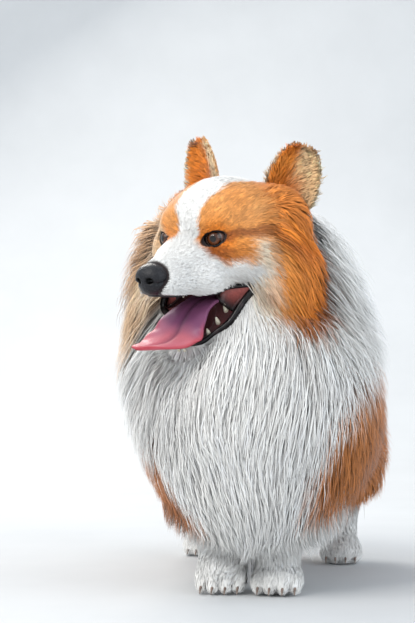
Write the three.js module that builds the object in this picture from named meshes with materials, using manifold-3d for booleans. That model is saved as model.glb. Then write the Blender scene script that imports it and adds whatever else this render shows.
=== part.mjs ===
// A Pembroke Welsh Corgi of the long-coated kind, life-size, in millimetres.
// It walks towards -Y with its head turned to its own right, mouth open and tongue out.
// +X is the dog's left, +Y its rear, +Z up. The forepaws stand near x = 0, y = 0 while the
// dog is modelled, and the last lines move the middle of its outer box to the origin.
import * as THREE from 'three';
import { mergeVertices } from 'three/addons/utils/BufferGeometryUtils.js';
import Module from 'manifold-3d';

const wasm = await Module();
wasm.setup();

// Driving dimensions
const GAP = 0.3;
const RADIANS = Math.PI / 180;
const BODY_BLEND = 34;
const HEAD_BLEND = 14;
const EYES_AT = [-54.2, -58, 382.6];
const HEAD_YAW = 32 * RADIANS;
const HEAD_PITCH = 11 * RADIANS;
const HEAD_ROLL = 4 * RADIANS;
const EYEBALL_RADIUS = 11.5;
const EYE_SPACING = 61;
const EYE_SPLAY = 22 * RADIANS;
const NOSE_AT = [0, -73, -33];
const MOUTH_CORNER = [42, 33, -51];
const CHIN_AT = [0, -34, -113];
const LIP_RADIUS = 3;
const FOREPAW_LEFT = [31, -4, 0];
const FOREPAW_RIGHT = [-31, 2, 0];
const HINDPAW_LEFT = [90, 300, 0];
const HINDPAW_RIGHT = [-97, 372, 0];

// Colours of the coat and the bare parts
const WHITE = 0xeeeae2;
const RED = 0xc8803a;
const RED_PALE = 0xd9a468;
const BLACK = 0x17181a;
const PINK = 0xc77a84;

// Vector helpers on plain arrays
const add = (a, b) => [a[0] + b[0], a[1] + b[1], a[2] + b[2]];
const sub = (a, b) => [a[0] - b[0], a[1] - b[1], a[2] - b[2]];
const scale = (a, s) => [a[0] * s, a[1] * s, a[2] * s];
const dot = (a, b) => a[0] * b[0] + a[1] * b[1] + a[2] * b[2];
const cross = (a, b) => [
  a[1] * b[2] - a[2] * b[1],
  a[2] * b[0] - a[0] * b[2],
  a[0] * b[1] - a[1] * b[0],
];
const size = (a) => Math.hypot(a[0], a[1], a[2]);
const unit = (a) => scale(a, 1 / (size(a) || 1));
const mix = (a, b, t) => add(scale(a, 1 - t), scale(b, t));
const mirrored = (p) => [-p[0], p[1], p[2]];
const clamp = (x, low, high) => Math.min(high, Math.max(low, x));
const smooth = (low, high, x) => {
  const t = clamp((x - low) / (high - low), 0, 1);
  return t * t * (3 - 2 * t);
};

// Seeded random numbers, so that the coat is the same each time
function randomFrom(seed) {
  let state = seed >>> 0;
  return () => {
    state = (state + 0x6d2b79f5) >>> 0;
    let t = Math.imul(state ^ (state >>> 15), 1 | state);
    t = (t + Math.imul(t ^ (t >>> 7), 61 | t)) ^ t;
    return ((t ^ (t >>> 14)) >>> 0) / 4294967296;
  };
}

// The head's own frame: -Y runs forward, +X to the dog's left, origin midway between the eyes
function headAxes() {
  const turn = new THREE.Matrix4().makeRotationZ(-HEAD_YAW);
  turn.multiply(new THREE.Matrix4().makeRotationX(HEAD_PITCH));
  turn.multiply(new THREE.Matrix4().makeRotationY(HEAD_ROLL));
  const e = turn.elements;
  return [[e[0], e[1], e[2]], [e[4], e[5], e[6]], [e[8], e[9], e[10]]];
}
const [HEAD_X, HEAD_Y, HEAD_Z] = headAxes();
const turnHead = (p) => add(add(scale(HEAD_X, p[0]), scale(HEAD_Y, p[1])), scale(HEAD_Z, p[2]));
const fromHead = (p) => add(EYES_AT, turnHead(p));
const toHead = (p) => {
  const q = sub(p, EYES_AT);
  return [dot(q, HEAD_X), dot(q, HEAD_Y), dot(q, HEAD_Z)];
};

// Rounded forms: a ball has a centre and three radii, a bone runs between two balls
const ball = (at, radii) => ({ at, radii });
const bone = (from, fromRadius, to, toRadius) => ({ from, fromRadius, to, toRadius });
const pair = (make) => [make(1), make(-1)];

function ballDistance(form, p) {
  const q = sub(p, form.at);
  const r = form.radii;
  const k0 = Math.hypot(q[0] / r[0], q[1] / r[1], q[2] / r[2]);
  const k1 = Math.hypot(q[0] / r[0] ** 2, q[1] / r[1] ** 2, q[2] / r[2] ** 2);
  return k1 > 1e-9 ? (k0 * (k0 - 1)) / k1 : -Math.min(...r);
}

function boneDistance(form, p) {
  const axis = sub(form.to, form.from);
  const t = clamp(dot(sub(p, form.from), axis) / dot(axis, axis), 0, 1);
  const radius = form.fromRadius + (form.toRadius - form.fromRadius) * t;
  return size(sub(p, mix(form.from, form.to, t))) - radius;
}

const blendMin = (a, b, k) => {
  const h = Math.max(k - Math.abs(a - b), 0) / k;
  return Math.min(a, b) - (h * h * k) / 4;
};

const distanceTo = (form, p) => (form.radii ? ballDistance(form, p) : boneDistance(form, p));

const fieldOf = (forms, blend) => (p) =>
  forms.reduce((d, form) => blendMin(d, distanceTo(form, p), blend), 1e4);

// The slope of a field, which points away from its body
function slope(field, p) {
  const h = 0.6;
  return unit([
    field([p[0] + h, p[1], p[2]]) - field([p[0] - h, p[1], p[2]]),
    field([p[0], p[1] + h, p[2]]) - field([p[0], p[1] - h, p[2]]),
    field([p[0], p[1], p[2] + h]) - field([p[0], p[1], p[2] - h]),
  ]);
}

// Forms of the body under the outer half of the coat
const TORSO_FORMS = [
  ball([0, 120, 193], [110, 165, 103]),
  ball([0, 15, 200], [106, 84, 104]),
  ball([0, 250, 200], [98, 125, 94]),
  ball([0, 325, 205], [100, 92, 92]),
  ball([0, -8, 150], [74, 62, 78]),
];
const NECK_FORMS = [
  bone([0, 44, 245], 104, [-8, 38, 360], 83),
  ball([0, 0, 232], [80, 74, 62]),
  ball([-40, 46, 312], [72, 60, 70]),
];
const TAIL_FORMS = [bone([0, 398, 236], 22, [0, 420, 226], 19)];

const forelegForms = (side, paw) => [
  bone([side * 60, 42, 150], 40, [side * 40, 16, 84], 27),
  bone([side * 40, 16, 84], 27, [paw[0], paw[1] + 8, 44], 23),
];
const hindlegForms = (side, paw) => [
  ball([side * 84, paw[1] + 6, 168], [36, 74, 78]),
  bone([side * 86, paw[1] + 10, 130], 36, [paw[0], paw[1] + 46, 78], 22),
];
const hindpawForms = (side, paw) => [
  bone([paw[0], paw[1] + 44, 74], 19, [paw[0], paw[1] + 22, 24], 20),
  ball([paw[0], paw[1] + 2, 14], [26, 34, 20]),
];

const field = {
  torso: fieldOf(TORSO_FORMS, BODY_BLEND),
  neck: fieldOf(NECK_FORMS, BODY_BLEND),
  tail: fieldOf(TAIL_FORMS, BODY_BLEND),
};

// Forms of the head in its own frame
const HEAD_FORMS = [
  ball([0, 52, 12], [60, 64, 47]),
  ball([0, 22, 18], [43, 38, 26]),
  ...pair((s) => ball([s * 24, 5, 13], [18, 16, 13])),
  ...pair((s) => ball([s * 14, -18, -19], [15, 22, 14])),
  ...pair((s) => ball([s * 40, 32, -15], [30, 40, 31])),
  bone([0, -4, -22], 28, [0, -58, -33], 19),
  ...pair((s) => ball([s * 11, -46, -44], [14, 30, 15])),
  ...pair((s) => ball([s * 25, -8, -42], [16, 28, 20])),
  ...pair((s) => ball([s * 50, 80, 14], [36, 34, 34])),
  ...pair((s) => ball([s * 54, 62, -46], [38, 36, 56])),
  ball([0, 60, -40], [56, 46, 56]),
];
const JAW_FORMS = [
  bone([0, 40, -86], 34, [0, -16, -116], 19),
  ...pair((s) => bone([s * 26, 24, -78], 17, [s * 13, -18, -113], 13)),
];
const NOSE_FORMS = [
  ball(NOSE_AT, [18, 15, 14.5]),
  ball([0, -70, -43], [12, 13, 9]),
];
const headLocal = fieldOf(HEAD_FORMS, HEAD_BLEND);
const jawLocal = fieldOf(JAW_FORMS, HEAD_BLEND);
const noseLocal = fieldOf(NOSE_FORMS, 6);
field.head = (p) => headLocal(toHead(p));
field.jaw = (p) => jawLocal(toHead(p));
field.nose = (p) => noseLocal(toHead(p));

// A closed mesh held as points and triangles
const meshOf = (points, faces) => ({ points, faces });

function solidOf({ points, faces }) {
  const geometry = new THREE.BufferGeometry();
  geometry.setAttribute('position', new THREE.Float32BufferAttribute(points.flat(), 3));
  geometry.setIndex(faces.flat());
  return solidOfGeometry(geometry);
}

function solidOfGeometry(geometry) {
  const bare = geometry.clone();
  bare.deleteAttribute('normal');
  bare.deleteAttribute('uv');
  const merged = mergeVertices(bare, 1e-3);
  return new wasm.Manifold(new wasm.Mesh({
    numProp: 3,
    vertProperties: new Float32Array(merged.attributes.position.array),
    triVerts: new Uint32Array(merged.index.array),
  }));
}

function geometryOf(solid) {
  const mesh = solid.getMesh();
  const geometry = new THREE.BufferGeometry();
  geometry.setAttribute('position', new THREE.BufferAttribute(new Float32Array(mesh.vertProperties), 3));
  geometry.setIndex(new THREE.BufferAttribute(new Uint32Array(mesh.triVerts), 1));
  return geometry;
}

const joined = (solids) => solids.reduce((all, one) => all.add(one));
const largest = (solid) => solid.decompose().sort((a, b) => b.volume() - a.volume())[0];

// A point along a line of points, by share of its length
function alongLine(line, share) {
  const steps = line.slice(1).map((p, i) => size(sub(p, line[i])));
  let rest = clamp(share, 0, 1) * steps.reduce((a, b) => a + b, 0);
  for (let i = 0; i < steps.length; i += 1) {
    if (rest <= steps[i] || i === steps.length - 1) {
      return mix(line[i], line[i + 1], clamp(rest / steps[i], 0, 1));
    }
    rest -= steps[i];
  }
  return line[line.length - 1];
}

// Walks out from a point inside a body until the field reaches a level
function castRay(distance, from, way, level) {
  let reach = 0;
  let d = distance(from) - level;
  while (d < 0 && reach < 400) {
    reach += Math.max(0.4, -d * 0.6);
    d = distance(add(from, scale(way, reach))) - level;
  }
  let near = 0;
  let far = reach;
  for (let i = 0; i < 26; i += 1) {
    const middle = (near + far) / 2;
    if (distance(add(from, scale(way, middle))) - level < 0) {
      near = middle;
    } else {
      far = middle;
    }
  }
  return add(from, scale(way, far));
}

// The direction and start of one ray: u runs over both end caps and the line between them
function rayAt(line, caps, u, angle, upwards) {
  const start = alongLine(line, (u - caps) / (1 - 2 * caps));
  const tangent = unit(sub(line[line.length - 1], line[0]));
  const side = unit(cross(tangent, upwards));
  const top = cross(side, tangent);
  const radial = add(scale(side, Math.cos(angle)), scale(top, Math.sin(angle)));
  let lean = 0;
  if (u < caps) {
    lean = -(1 - u / caps) * (Math.PI / 2);
  } else if (u > 1 - caps) {
    lean = ((u - 1 + caps) / caps) * (Math.PI / 2);
  }
  return [start, add(scale(radial, Math.cos(lean)), scale(tangent, Math.sin(lean)))];
}

// Wraps a body in rings of points found by rays from a line inside it
function wrapBody({ distance, line, caps, rings, sides, upwards = [0, 0, 1] }, level = 0) {
  const points = [];
  const faces = [];
  const pole = (u) => {
    const [start, way] = rayAt(line, caps, u, 0, upwards);
    points.push(castRay(distance, start, way, level));
    return points.length - 1;
  };
  const first = pole(0);
  for (let i = 1; i < rings; i += 1) {
    for (let j = 0; j < sides; j += 1) {
      const [start, way] = rayAt(line, caps, i / rings, (j / sides) * 2 * Math.PI, upwards);
      points.push(castRay(distance, start, way, level));
    }
  }
  const last = pole(1);
  const at = (i, j) => 1 + (i - 1) * sides + (j % sides);
  for (let j = 0; j < sides; j += 1) {
    faces.push([first, at(1, j), at(1, j + 1)]);
    faces.push([last, at(rings - 1, j + 1), at(rings - 1, j)]);
    for (let i = 1; i < rings - 1; i += 1) {
      faces.push([at(i, j), at(i + 1, j), at(i + 1, j + 1)]);
      faces.push([at(i, j), at(i + 1, j + 1), at(i, j + 1)]);
    }
  }
  return solidOf(outward(points, faces));
}

// Turns all faces over if they point inwards
function outward(points, faces) {
  const volume = faces.reduce((sum, [a, b, c]) => sum + dot(points[a], cross(points[b], points[c])), 0);
  return meshOf(points, volume > 0 ? faces : faces.map(([a, b, c]) => [a, c, b]));
}

// Joins sections of equal point count into a closed tube, ending in caps or in one tip point
function tubeOf(sections, tip) {
  const count = sections[0].length;
  const points = sections.flat();
  const faces = [];
  const at = (i, j) => i * count + (j % count);
  for (let i = 0; i + 1 < sections.length; i += 1) {
    for (let j = 0; j < count; j += 1) {
      faces.push([at(i, j), at(i + 1, j), at(i + 1, j + 1)]);
      faces.push([at(i, j), at(i + 1, j + 1), at(i, j + 1)]);
    }
  }
  const end = sections.length - 1;
  for (let j = 1; j + 1 < count; j += 1) {
    faces.push([at(0, 0), at(0, j), at(0, j + 1)]);
  }
  if (tip) {
    points.push(tip);
    for (let j = 0; j < count; j += 1) {
      faces.push([points.length - 1, at(end, j + 1), at(end, j)]);
    }
  } else {
    for (let j = 1; j + 1 < count; j += 1) {
      faces.push([at(end, 0), at(end, j + 1), at(end, j)]);
    }
  }
  return outward(points, faces);
}

// A ring of points closed on itself, such as an eyelid's rim
function ringOf(sections) {
  const count = sections[0].length;
  const points = sections.flat();
  const faces = [];
  const at = (i, j) => (i % sections.length) * count + (j % count);
  for (let i = 0; i < sections.length; i += 1) {
    for (let j = 0; j < count; j += 1) {
      faces.push([at(i, j), at(i + 1, j), at(i + 1, j + 1)]);
      faces.push([at(i, j), at(i + 1, j + 1), at(i, j + 1)]);
    }
  }
  return outward(points, faces);
}

// Shares of a lock's length at its bends and its tip
const LONG_LOCK = [0.34, 0.7, 1];
const SHORT_LOCK = [0.52, 1];

// Follows the lie of the coat from a root, rising clear of every body it passes over
function layLock(root, coat, random) {
  const turn = (random() - 0.5) * coat.scatter;
  const length = coat.length(root) * (0.85 + 0.3 * random());
  const lift = coat.lift(root) * (0.85 + 0.25 * random());
  const path = [add(root, scale(slope(coat.own, root), -coat.sink))];
  let p = root;
  let done = 0;
  for (const step of coat.steps) {
    const out = slope(coat.over, p);
    const guide = coat.lie(p);
    const along = unit(sub(guide, scale(out, dot(guide, out))));
    const way = add(scale(along, Math.cos(turn)), scale(cross(out, along), Math.sin(turn)));
    p = add(p, scale(way, length * (step - done)));
    const height = lift * (1 - (1 - step) ** 1.2);
    for (let i = 0; i < 3; i += 1) {
      p = add(p, scale(slope(coat.over, p), height - coat.over(p)));
    }
    p[2] = Math.max(p[2], coat.lowest);
    path.push(p);
    done = step;
  }
  const wide = coat.width(root) * (0.85 + 0.3 * random());
  return { path, wide, thick: coat.thick, over: coat.over };
}

// A flat lock: a low ridge over a flat underside, widest in its first half, tapering to a tip
const LOCK_SHARES = [0.62, 1, 0.76];
const LOCK_EDGE_GROWTH = 6;

function lockSolid({ path, wide, thick, over }, grow) {
  const sections = [];
  for (let i = 0; i < path.length - 1; i += 1) {
    const ahead = unit(sub(path[i + 1], path[Math.max(i - 1, 0)]));
    const out = slope(over, path[Math.max(i, 1)]);
    const side = unit(cross(ahead, out));
    const top = cross(side, ahead);
    const middle = i === 0 ? sub(path[0], scale(ahead, 2 * grow)) : path[i];
    const half = wide * LOCK_SHARES[i] + grow * LOCK_EDGE_GROWTH;
    const low = -thick * 0.35 - grow;
    const high = thick * 0.8 * LOCK_SHARES[i] + grow * 2;
    sections.push([
      add(middle, add(scale(side, half), scale(top, low))),
      add(middle, scale(top, high)),
      add(middle, add(scale(side, -half), scale(top, low))),
    ]);
  }
  const tipWay = unit(sub(path[path.length - 1], path[path.length - 2]));
  const tip = add(path[path.length - 1], scale(tipWay, grow * LOCK_EDGE_GROWTH));
  return solidOf(tubeOf(sections, tip));
}

// Sets locks in staggered rows on a wrapped body, where the coat grows
function rowsOfLocks(wrap, coat, seed) {
  const random = randomFrom(seed);
  const locks = [];
  for (let row = 0; row < coat.rows; row += 1) {
    const u = coat.from + ((coat.to - coat.from) * (row + 0.5)) / coat.rows;
    for (let j = 0; j < coat.around; j += 1) {
      const angle = ((j + (row % 2) / 2 + (random() - 0.5) * 0.5) / coat.around) * 2 * Math.PI;
      const shift = ((random() - 0.5) * 0.5 * (coat.to - coat.from)) / coat.rows;
      const [start, way] = rayAt(wrap.line, wrap.caps, u + shift, angle, wrap.upwards ?? [0, 0, 1]);
      const root = castRay(wrap.distance, start, way, 0);
      if (coat.grows(root, slope(coat.own, root))) {
        locks.push(layLock(root, coat, random));
      }
    }
  }
  return locks;
}

// Sets locks in staggered tiers, each at one height, round the front of a body
function tiersOfLocks(coat, seed) {
  const random = randomFrom(seed);
  const locks = [];
  coat.tiers.forEach((height, tier) => {
    for (let j = 0; j < coat.across; j += 1) {
      const share = (j + (tier % 2 ? 0.75 : 0.25) + (random() - 0.5) * 0.4) / coat.across;
      const angle = (share * 2 - 1) * coat.halfTurn;
      const from = [...coat.middle, height + (random() - 0.5) * 12];
      const root = castRay(coat.own, from, [Math.sin(angle), -Math.cos(angle), 0], 0);
      if (coat.grows(root)) {
        locks.push(layLock(root, coat, random));
      }
    }
  });
  return locks;
}

// Floor, and the mouth's opening, as cutting solids
const FLOOR_CUT = solidOfGeometry(new THREE.BoxGeometry(900, 1400, 60).translate(0, 100, -30));
const onFloor = (solid) => solid.subtract(FLOOR_CUT);

function prismAcross(profile, halfWidth, place) {
  const ends = [-halfWidth, halfWidth].map((x) => profile.map(([y, z]) => place([x, y, z])));
  return solidOf(tubeOf(ends, null));
}

// The gap between the lips, seen from the side: upper lip line, then lower lip line
const UPPER_LIP = [[20, -53.5], [0, -57], [-26, -59], [-50, -56.5], [-72, -52]];
const LOWER_LIP = [[22, -70], [4, -92], [-18, -108.5]];
const MOUTH_HALF_WIDTH = 62;
const MOUTH_FLOOR = [
  [MOUTH_CORNER[1], MOUTH_CORNER[2]],
  ...LOWER_LIP,
  [CHIN_AT[1] - 4, CHIN_AT[2] - 1],
  [-120, -150],
];
const mouthProfile = [
  MOUTH_FLOOR[0],
  ...UPPER_LIP,
  [-120, -46],
  ...MOUTH_FLOOR.slice(1).reverse(),
];
const mouthCut = prismAcross(mouthProfile, MOUTH_HALF_WIDTH, fromHead);

const ellipsoid = (at, radii, sides, rings, lean = 0) => {
  const geometry = new THREE.SphereGeometry(1, sides, rings);
  geometry.scale(...radii).rotateX(lean).translate(...at);
  return geometry;
};
const HEAD_PLACE = new THREE.Matrix4().makeBasis(
  new THREE.Vector3(...HEAD_X), new THREE.Vector3(...HEAD_Y), new THREE.Vector3(...HEAD_Z),
).setPosition(...EYES_AT);
const headEllipsoid = (at, radii, sides, rings, lean = 0) =>
  solidOfGeometry(ellipsoid(at, radii, sides, rings, lean).applyMatrix4(HEAD_PLACE));

const palateCut = headEllipsoid([0, -24, -57], [19, 44, 11], 14, 8);
const jawFloorCut = headEllipsoid([0, -2, -98], [17, 36, 12], 14, 8, 0.86);

// Teeth: short cones with sunk roots, along each jaw
const TOOTH_ROOT = 4;

function toothAt(at, way, height, radius) {
  const side = unit(cross(way, [0.3, 1, 0.2]));
  const other = cross(way, side);
  const ring = (middle, r) => [0, 1, 2, 3].map((i) => {
    const angle = (i / 4) * 2 * Math.PI;
    return add(middle, add(scale(side, Math.cos(angle) * r), scale(other, Math.sin(angle) * r)));
  });
  const root = ring(sub(at, scale(way, TOOTH_ROOT)), radius);
  const waist = ring(add(at, scale(way, height * 0.4)), radius * 0.85);
  const sections = [root, waist];
  const placed = sections.map((section) => section.map(fromHead));
  return solidOf(tubeOf(placed, fromHead(add(at, scale(way, height)))));
}

function teethAlong(line, heights, radii, way) {
  return heights.flatMap((height, i) => {
    const at = alongLine(line, heights.length > 1 ? i / (heights.length - 1) : 0);
    return pair((s) => toothAt([at[0] * s, at[1], at[2]], unit(way), height, radii[i]));
  });
}

const UPPER_TEETH = {
  line: [[3, -60, -51], [10, -54, -52], [16, -30, -53], [19, -6, -52]],
  heights: [3, 3, 6, 4, 4, 4],
  radii: [2, 2.2, 2.9, 2.8, 3.2, 3.4],
};
const LOWER_TEETH = {
  line: [[4, -34, -114], [12, -27, -112], [20, -8, -100.5], [27, 14, -79]],
  heights: [4, 4, 9, 7, 6],
  radii: [1.9, 2.1, 2.9, 3.4, 3.2],
};

// A ridge along a line of points, such as a lip
function ridgeAlong(line, radius) {
  const sections = line.map((p, i) => {
    const ahead = unit(sub(line[Math.min(i + 1, line.length - 1)], line[Math.max(i - 1, 0)]));
    const side = unit(cross(ahead, [0.1, 0.2, 1]));
    const top = cross(side, ahead);
    return [0, 1, 2, 3].map((k) => {
      const angle = ((k + 0.5) / 4) * 2 * Math.PI;
      return add(p, add(scale(side, Math.cos(angle) * radius), scale(top, Math.sin(angle) * radius)));
    });
  });
  return solidOf(tubeOf(sections, null));
}

// Puts a lip's line on the outside of the body it belongs to, just beyond the cut
function lipLine(profile, distance, drop, tuck) {
  return profile.map(([y, z]) => {
    const start = fromHead([0, y, z + drop]);
    const p = castRay(distance, start, HEAD_X, 0);
    return sub(p, scale(HEAD_X, tuck));
  });
}
const mirrorInHead = (p) => fromHead(mirrored(toHead(p)));

// The head, with its jaw, nose and tongue
const headWrap = {
  distance: field.head,
  line: [[0, -52, -36], [0, -30, -28], [0, 0, -6], [0, 40, -6], [0, 66, -14]].map(fromHead),
  caps: 0.16,
  rings: 22,
  sides: 24,
  upwards: HEAD_Z,
};
const jawWrap = {
  distance: field.jaw,
  line: [[0, 42, -86], [0, -14, -112]].map(fromHead),
  caps: 0.2,
  rings: 9,
  sides: 12,
  upwards: HEAD_Z,
};
const noseWrap = {
  distance: field.nose,
  line: [[0, -68, -34], [0, -78, -35]].map(fromHead),
  caps: 0.4,
  rings: 7,
  sides: 12,
  upwards: HEAD_Z,
};

const TONGUE_LINE = [
  { at: [3, 30, -66], half: 15, side: [1, 0, 0] },
  { at: [4, 6, -68], half: 20, side: [1, 0, -0.05] },
  { at: [3, -14, -74], half: 22, side: [1, 0.05, -0.05] },
  { at: [3, -31, -86], half: 26, side: [1, 0.18, -0.08] },
  { at: [3, -43, -98], half: 29, side: [1, 0.3, -0.1] },
  { at: [0, -58, -105], half: 28, side: [1, 0.42, -0.08] },
  { at: [-5, -73, -106.5], half: 21, side: [1, 0.46, -0.05] },
  { at: [-11, -86, -106], half: 11, side: [1, 0.46, -0.04] },
];
const TONGUE_THICK = 7;
const TONGUE_GROOVE = 2.2;

function tongueSolid(grow) {
  const line = TONGUE_LINE;
  const sections = line.map(({ at, half, side }, i) => {
    const ahead = unit(sub(line[Math.min(i + 1, line.length - 1)].at, line[Math.max(i - 1, 0)].at));
    const across = unit(side);
    const top = unit(cross(ahead, across));
    const stretch = { 0: -2 * grow, [line.length - 1]: 2 * grow }[i] ?? 0;
    const shares = [-1, -0.55, 0, 0.55, 1];
    const crown = [0.15, 0.5, 0.5 - TONGUE_GROOVE / TONGUE_THICK, 0.5, 0.15];
    const middle = add(at, scale(ahead, stretch));
    const point = (share, height) => {
      const swell = Math.abs(share) === 1 ? 0 : Math.sign(height) * 1.5 * grow;
      return fromHead(add(middle, add(
        scale(across, share * (half + 2 * grow)), scale(top, height * TONGUE_THICK + swell))));
    };
    const upper = shares.map((share, k) => point(share, crown[k]));
    const lower = [0.6, 0, -0.6].map((share) => point(share, -0.5));
    return [...upper, ...lower];
  });
  return solidOf(tubeOf(sections, null));
}

// Eyes and lids
const eyeCentre = (s) => [(s * EYE_SPACING) / 2, 0, 0];
const eyeAxis = (s) => [s * Math.sin(EYE_SPLAY), -Math.cos(EYE_SPLAY), 0.02];
const eyeSolid = (s, radius) => headEllipsoid(eyeCentre(s), [radius, radius, radius], 10, 8);

const LID_STEPS = 12;

function lidSolid(s) {
  const axis = unit(eyeAxis(s));
  const across = unit(cross(axis, [0, 0, 1]));
  const upward = cross(across, axis);
  const sections = [];
  for (let i = 0; i < LID_STEPS; i += 1) {
    const angle = (i / LID_STEPS) * 2 * Math.PI;
    const height = Math.sin(angle) > 0 ? 0.62 : 0.56;
    const spread = (share, radius) => {
      const way = unit(add(axis, add(
        scale(across, Math.cos(angle) * 0.92 * share), scale(upward, Math.sin(angle) * height * share))));
      return fromHead(add(eyeCentre(s), scale(way, radius)));
    };
    sections.push([
      spread(1, EYEBALL_RADIUS - 1),
      spread(1.02, EYEBALL_RADIUS + 1.5),
      spread(1.4, EYEBALL_RADIUS + 2.4),
      spread(1.7, EYEBALL_RADIUS - 2),
    ]);
  }
  return solidOf(ringOf(sections));
}

// Ears: upright cups, open forwards and outwards, with round tips
const EARS = [
  { side: 1, base: [69, 90, 42], tip: [87, 93, 98], half: 33, facing: [0.42, -0.9, 0.08] },
  { side: -1, base: [-62, 94, 46], tip: [-66, 102, 110], half: 31, facing: [-0.3, -0.94, 0.08] },
];
const EAR_THICK = 5.5;
const EAR_CUP = 15;
const EAR_ROOT = 0.42;
const EAR_OUTER_POWER = 3.2;
const EAR_INNER_POWER = 1.7;

function earSolid({ side, base, tip, half, facing }) {
  const rows = 9;
  const columns = 6;
  const rise = sub(tip, base);
  const out = unit(facing);
  const across = unit(cross(unit(rise), out));
  const sheet = (depth) => {
    const points = [];
    for (let i = 0; i <= rows; i += 1) {
      const t = -EAR_ROOT + (1 + EAR_ROOT) * Math.sin((i / rows) * (Math.PI / 2)) ** 0.92;
      const rounding = (power) => Math.sqrt(Math.max(1 - Math.max(t, 0) ** power, 0));
      const trim = t < 0 ? 1 + t * 0.3 : 1;
      for (let j = 0; j <= columns; j += 1) {
        const s = (j / columns) * 2 - 1;
        const width = half * rounding(s * side > 0 ? EAR_OUTER_POWER : EAR_INNER_POWER);
        const cup = -EAR_CUP * (1 - 0.6 * Math.max(t, 0)) * (1 - s * s) * Math.min(1, width / half + 0.2);
        const middle = add(base, scale(rise, t));
        const reach = s * Math.max(width, 5) * trim;
        points.push(fromHead(add(middle, add(scale(across, reach), scale(out, cup + depth)))));
      }
    }
    return points;
  };
  const front = sheet(0);
  const points = [...front, ...sheet(-EAR_THICK)];
  const count = front.length;
  const at = (i, j, back) => i * (columns + 1) + j + (back ? count : 0);
  const faces = [];
  const quad = (a, b, c, d) => faces.push([a, b, c], [a, c, d]);
  for (let i = 0; i < rows; i += 1) {
    for (let j = 0; j < columns; j += 1) {
      quad(at(i, j), at(i, j + 1), at(i + 1, j + 1), at(i + 1, j));
      faces.push([at(i, j, 1), at(i + 1, j + 1, 1), at(i, j + 1, 1)]);
      faces.push([at(i, j, 1), at(i + 1, j, 1), at(i + 1, j + 1, 1)]);
    }
    quad(at(i, 0), at(i + 1, 0), at(i + 1, 0, 1), at(i, 0, 1));
    quad(at(i, columns), at(i, columns, 1), at(i + 1, columns, 1), at(i + 1, columns));
  }
  for (let j = 0; j < columns; j += 1) {
    quad(at(0, j), at(0, j, 1), at(0, j + 1, 1), at(0, j + 1));
    quad(at(rows, j), at(rows, j + 1), at(rows, j + 1, 1), at(rows, j, 1));
  }
  return solidOf(outward(points, faces));
}

// Paws: a palm with four bent toes and their claws, cut flat where they stand
const TOE_SPREAD = [-20, -7, 7, 20];

function roundTube(line, radii, flatten, count) {
  const sections = line.map((p, i) => {
    const ahead = unit(sub(line[Math.min(i + 1, line.length - 1)], line[Math.max(i - 1, 0)]));
    const side = unit(cross(ahead, [0, 0, 1]));
    const top = cross(side, ahead);
    return Array.from({ length: count }, (_, k) => {
      const angle = (k / count) * 2 * Math.PI;
      return add(p, add(
        scale(side, Math.cos(angle) * radii[i] * flatten), scale(top, Math.sin(angle) * radii[i])));
    });
  });
  const last = line.length - 1;
  const nose = add(line[last], scale(unit(sub(line[last], line[last - 1])), radii[last] * 0.7));
  return solidOf(tubeOf(sections, nose));
}

function toesOf(paw, heel, spread) {
  return TOE_SPREAD.flatMap((offset, i) => {
    const x = paw[0] + offset * spread;
    const back = i === 0 || i === 3 ? 6 : 0;
    const y = paw[1] + back;
    const knuckle = [paw[0] + offset * spread * 0.8, y + 4, 20 + heel * 0.6];
    const joint = [x, y - 14, 16 + heel * 0.2];
    const pad = [x, y - 25, 5.5 - heel * 0.08];
    const toe = roundTube([knuckle, joint, pad], [11, 11, 9], 0.84, 5);
    const claw = roundTube([[x, y - 29, 8], [x, y - 36, 4.5]], [2.8, 2], 1, 3);
    return [toe, claw];
  });
}

const forepaws = {
  left: { paw: FOREPAW_LEFT, side: 1, heel: 0 },
  right: { paw: FOREPAW_RIGHT, side: -1, heel: 16 },
};
const hindpaws = { left: { paw: HINDPAW_LEFT, side: 1 }, right: { paw: HINDPAW_RIGHT, side: -1 } };

const forepawForms = ({ paw, heel }) => [
  ball([paw[0], paw[1], 17 + heel * 0.7], [26, 28, 18 + heel * 0.1]),
  bone([paw[0], paw[1] + 12, 24 + heel * 0.8], 20, [paw[0], paw[1] + 10, 44 + heel * 0.4], 21),
];

// Every body: how it is wrapped, what is joined to it, and which neighbours it makes room for
const wraps = {
  torso: {
    distance: field.torso,
    line: [[0, 0, 190], [0, 120, 195], [0, 330, 205]],
    caps: 0.2,
    rings: 13,
    sides: 18,
  },
  neck: {
    distance: field.neck,
    line: [[0, 20, 235], [-12, 14, 350]],
    caps: 0.3,
    rings: 10,
    sides: 16,
    upwards: [0, -1, 0],
  },
  tail: { distance: field.tail, line: [[0, 396, 237], [0, 422, 224]], caps: 0.35, rings: 6, sides: 8 },
};
for (const [name, paw] of Object.entries(forepaws)) {
  field[`foreleg_${name}`] = fieldOf(forelegForms(paw.side, paw.paw), 16);
  field[`forepaw_${name}`] = fieldOf(forepawForms(paw), 12);
  wraps[`foreleg_${name}`] = {
    distance: field[`foreleg_${name}`],
    line: [[paw.side * 60, 42, 150], [paw.side * 40, 16, 84], [paw.paw[0], paw.paw[1] + 8, 46]],
    caps: 0.2,
    rings: 9,
    sides: 10,
    upwards: [0, -1, 0],
  };
  wraps[`forepaw_${name}`] = {
    distance: field[`forepaw_${name}`],
    line: [
      [paw.paw[0], paw.paw[1] + 12, 46 + paw.heel * 0.4],
      [paw.paw[0], paw.paw[1] + 4, 14 + paw.heel * 0.8],
    ],
    caps: 0.25,
    rings: 6,
    sides: 9,
    upwards: [0, -1, 0],
  };
}
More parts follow.
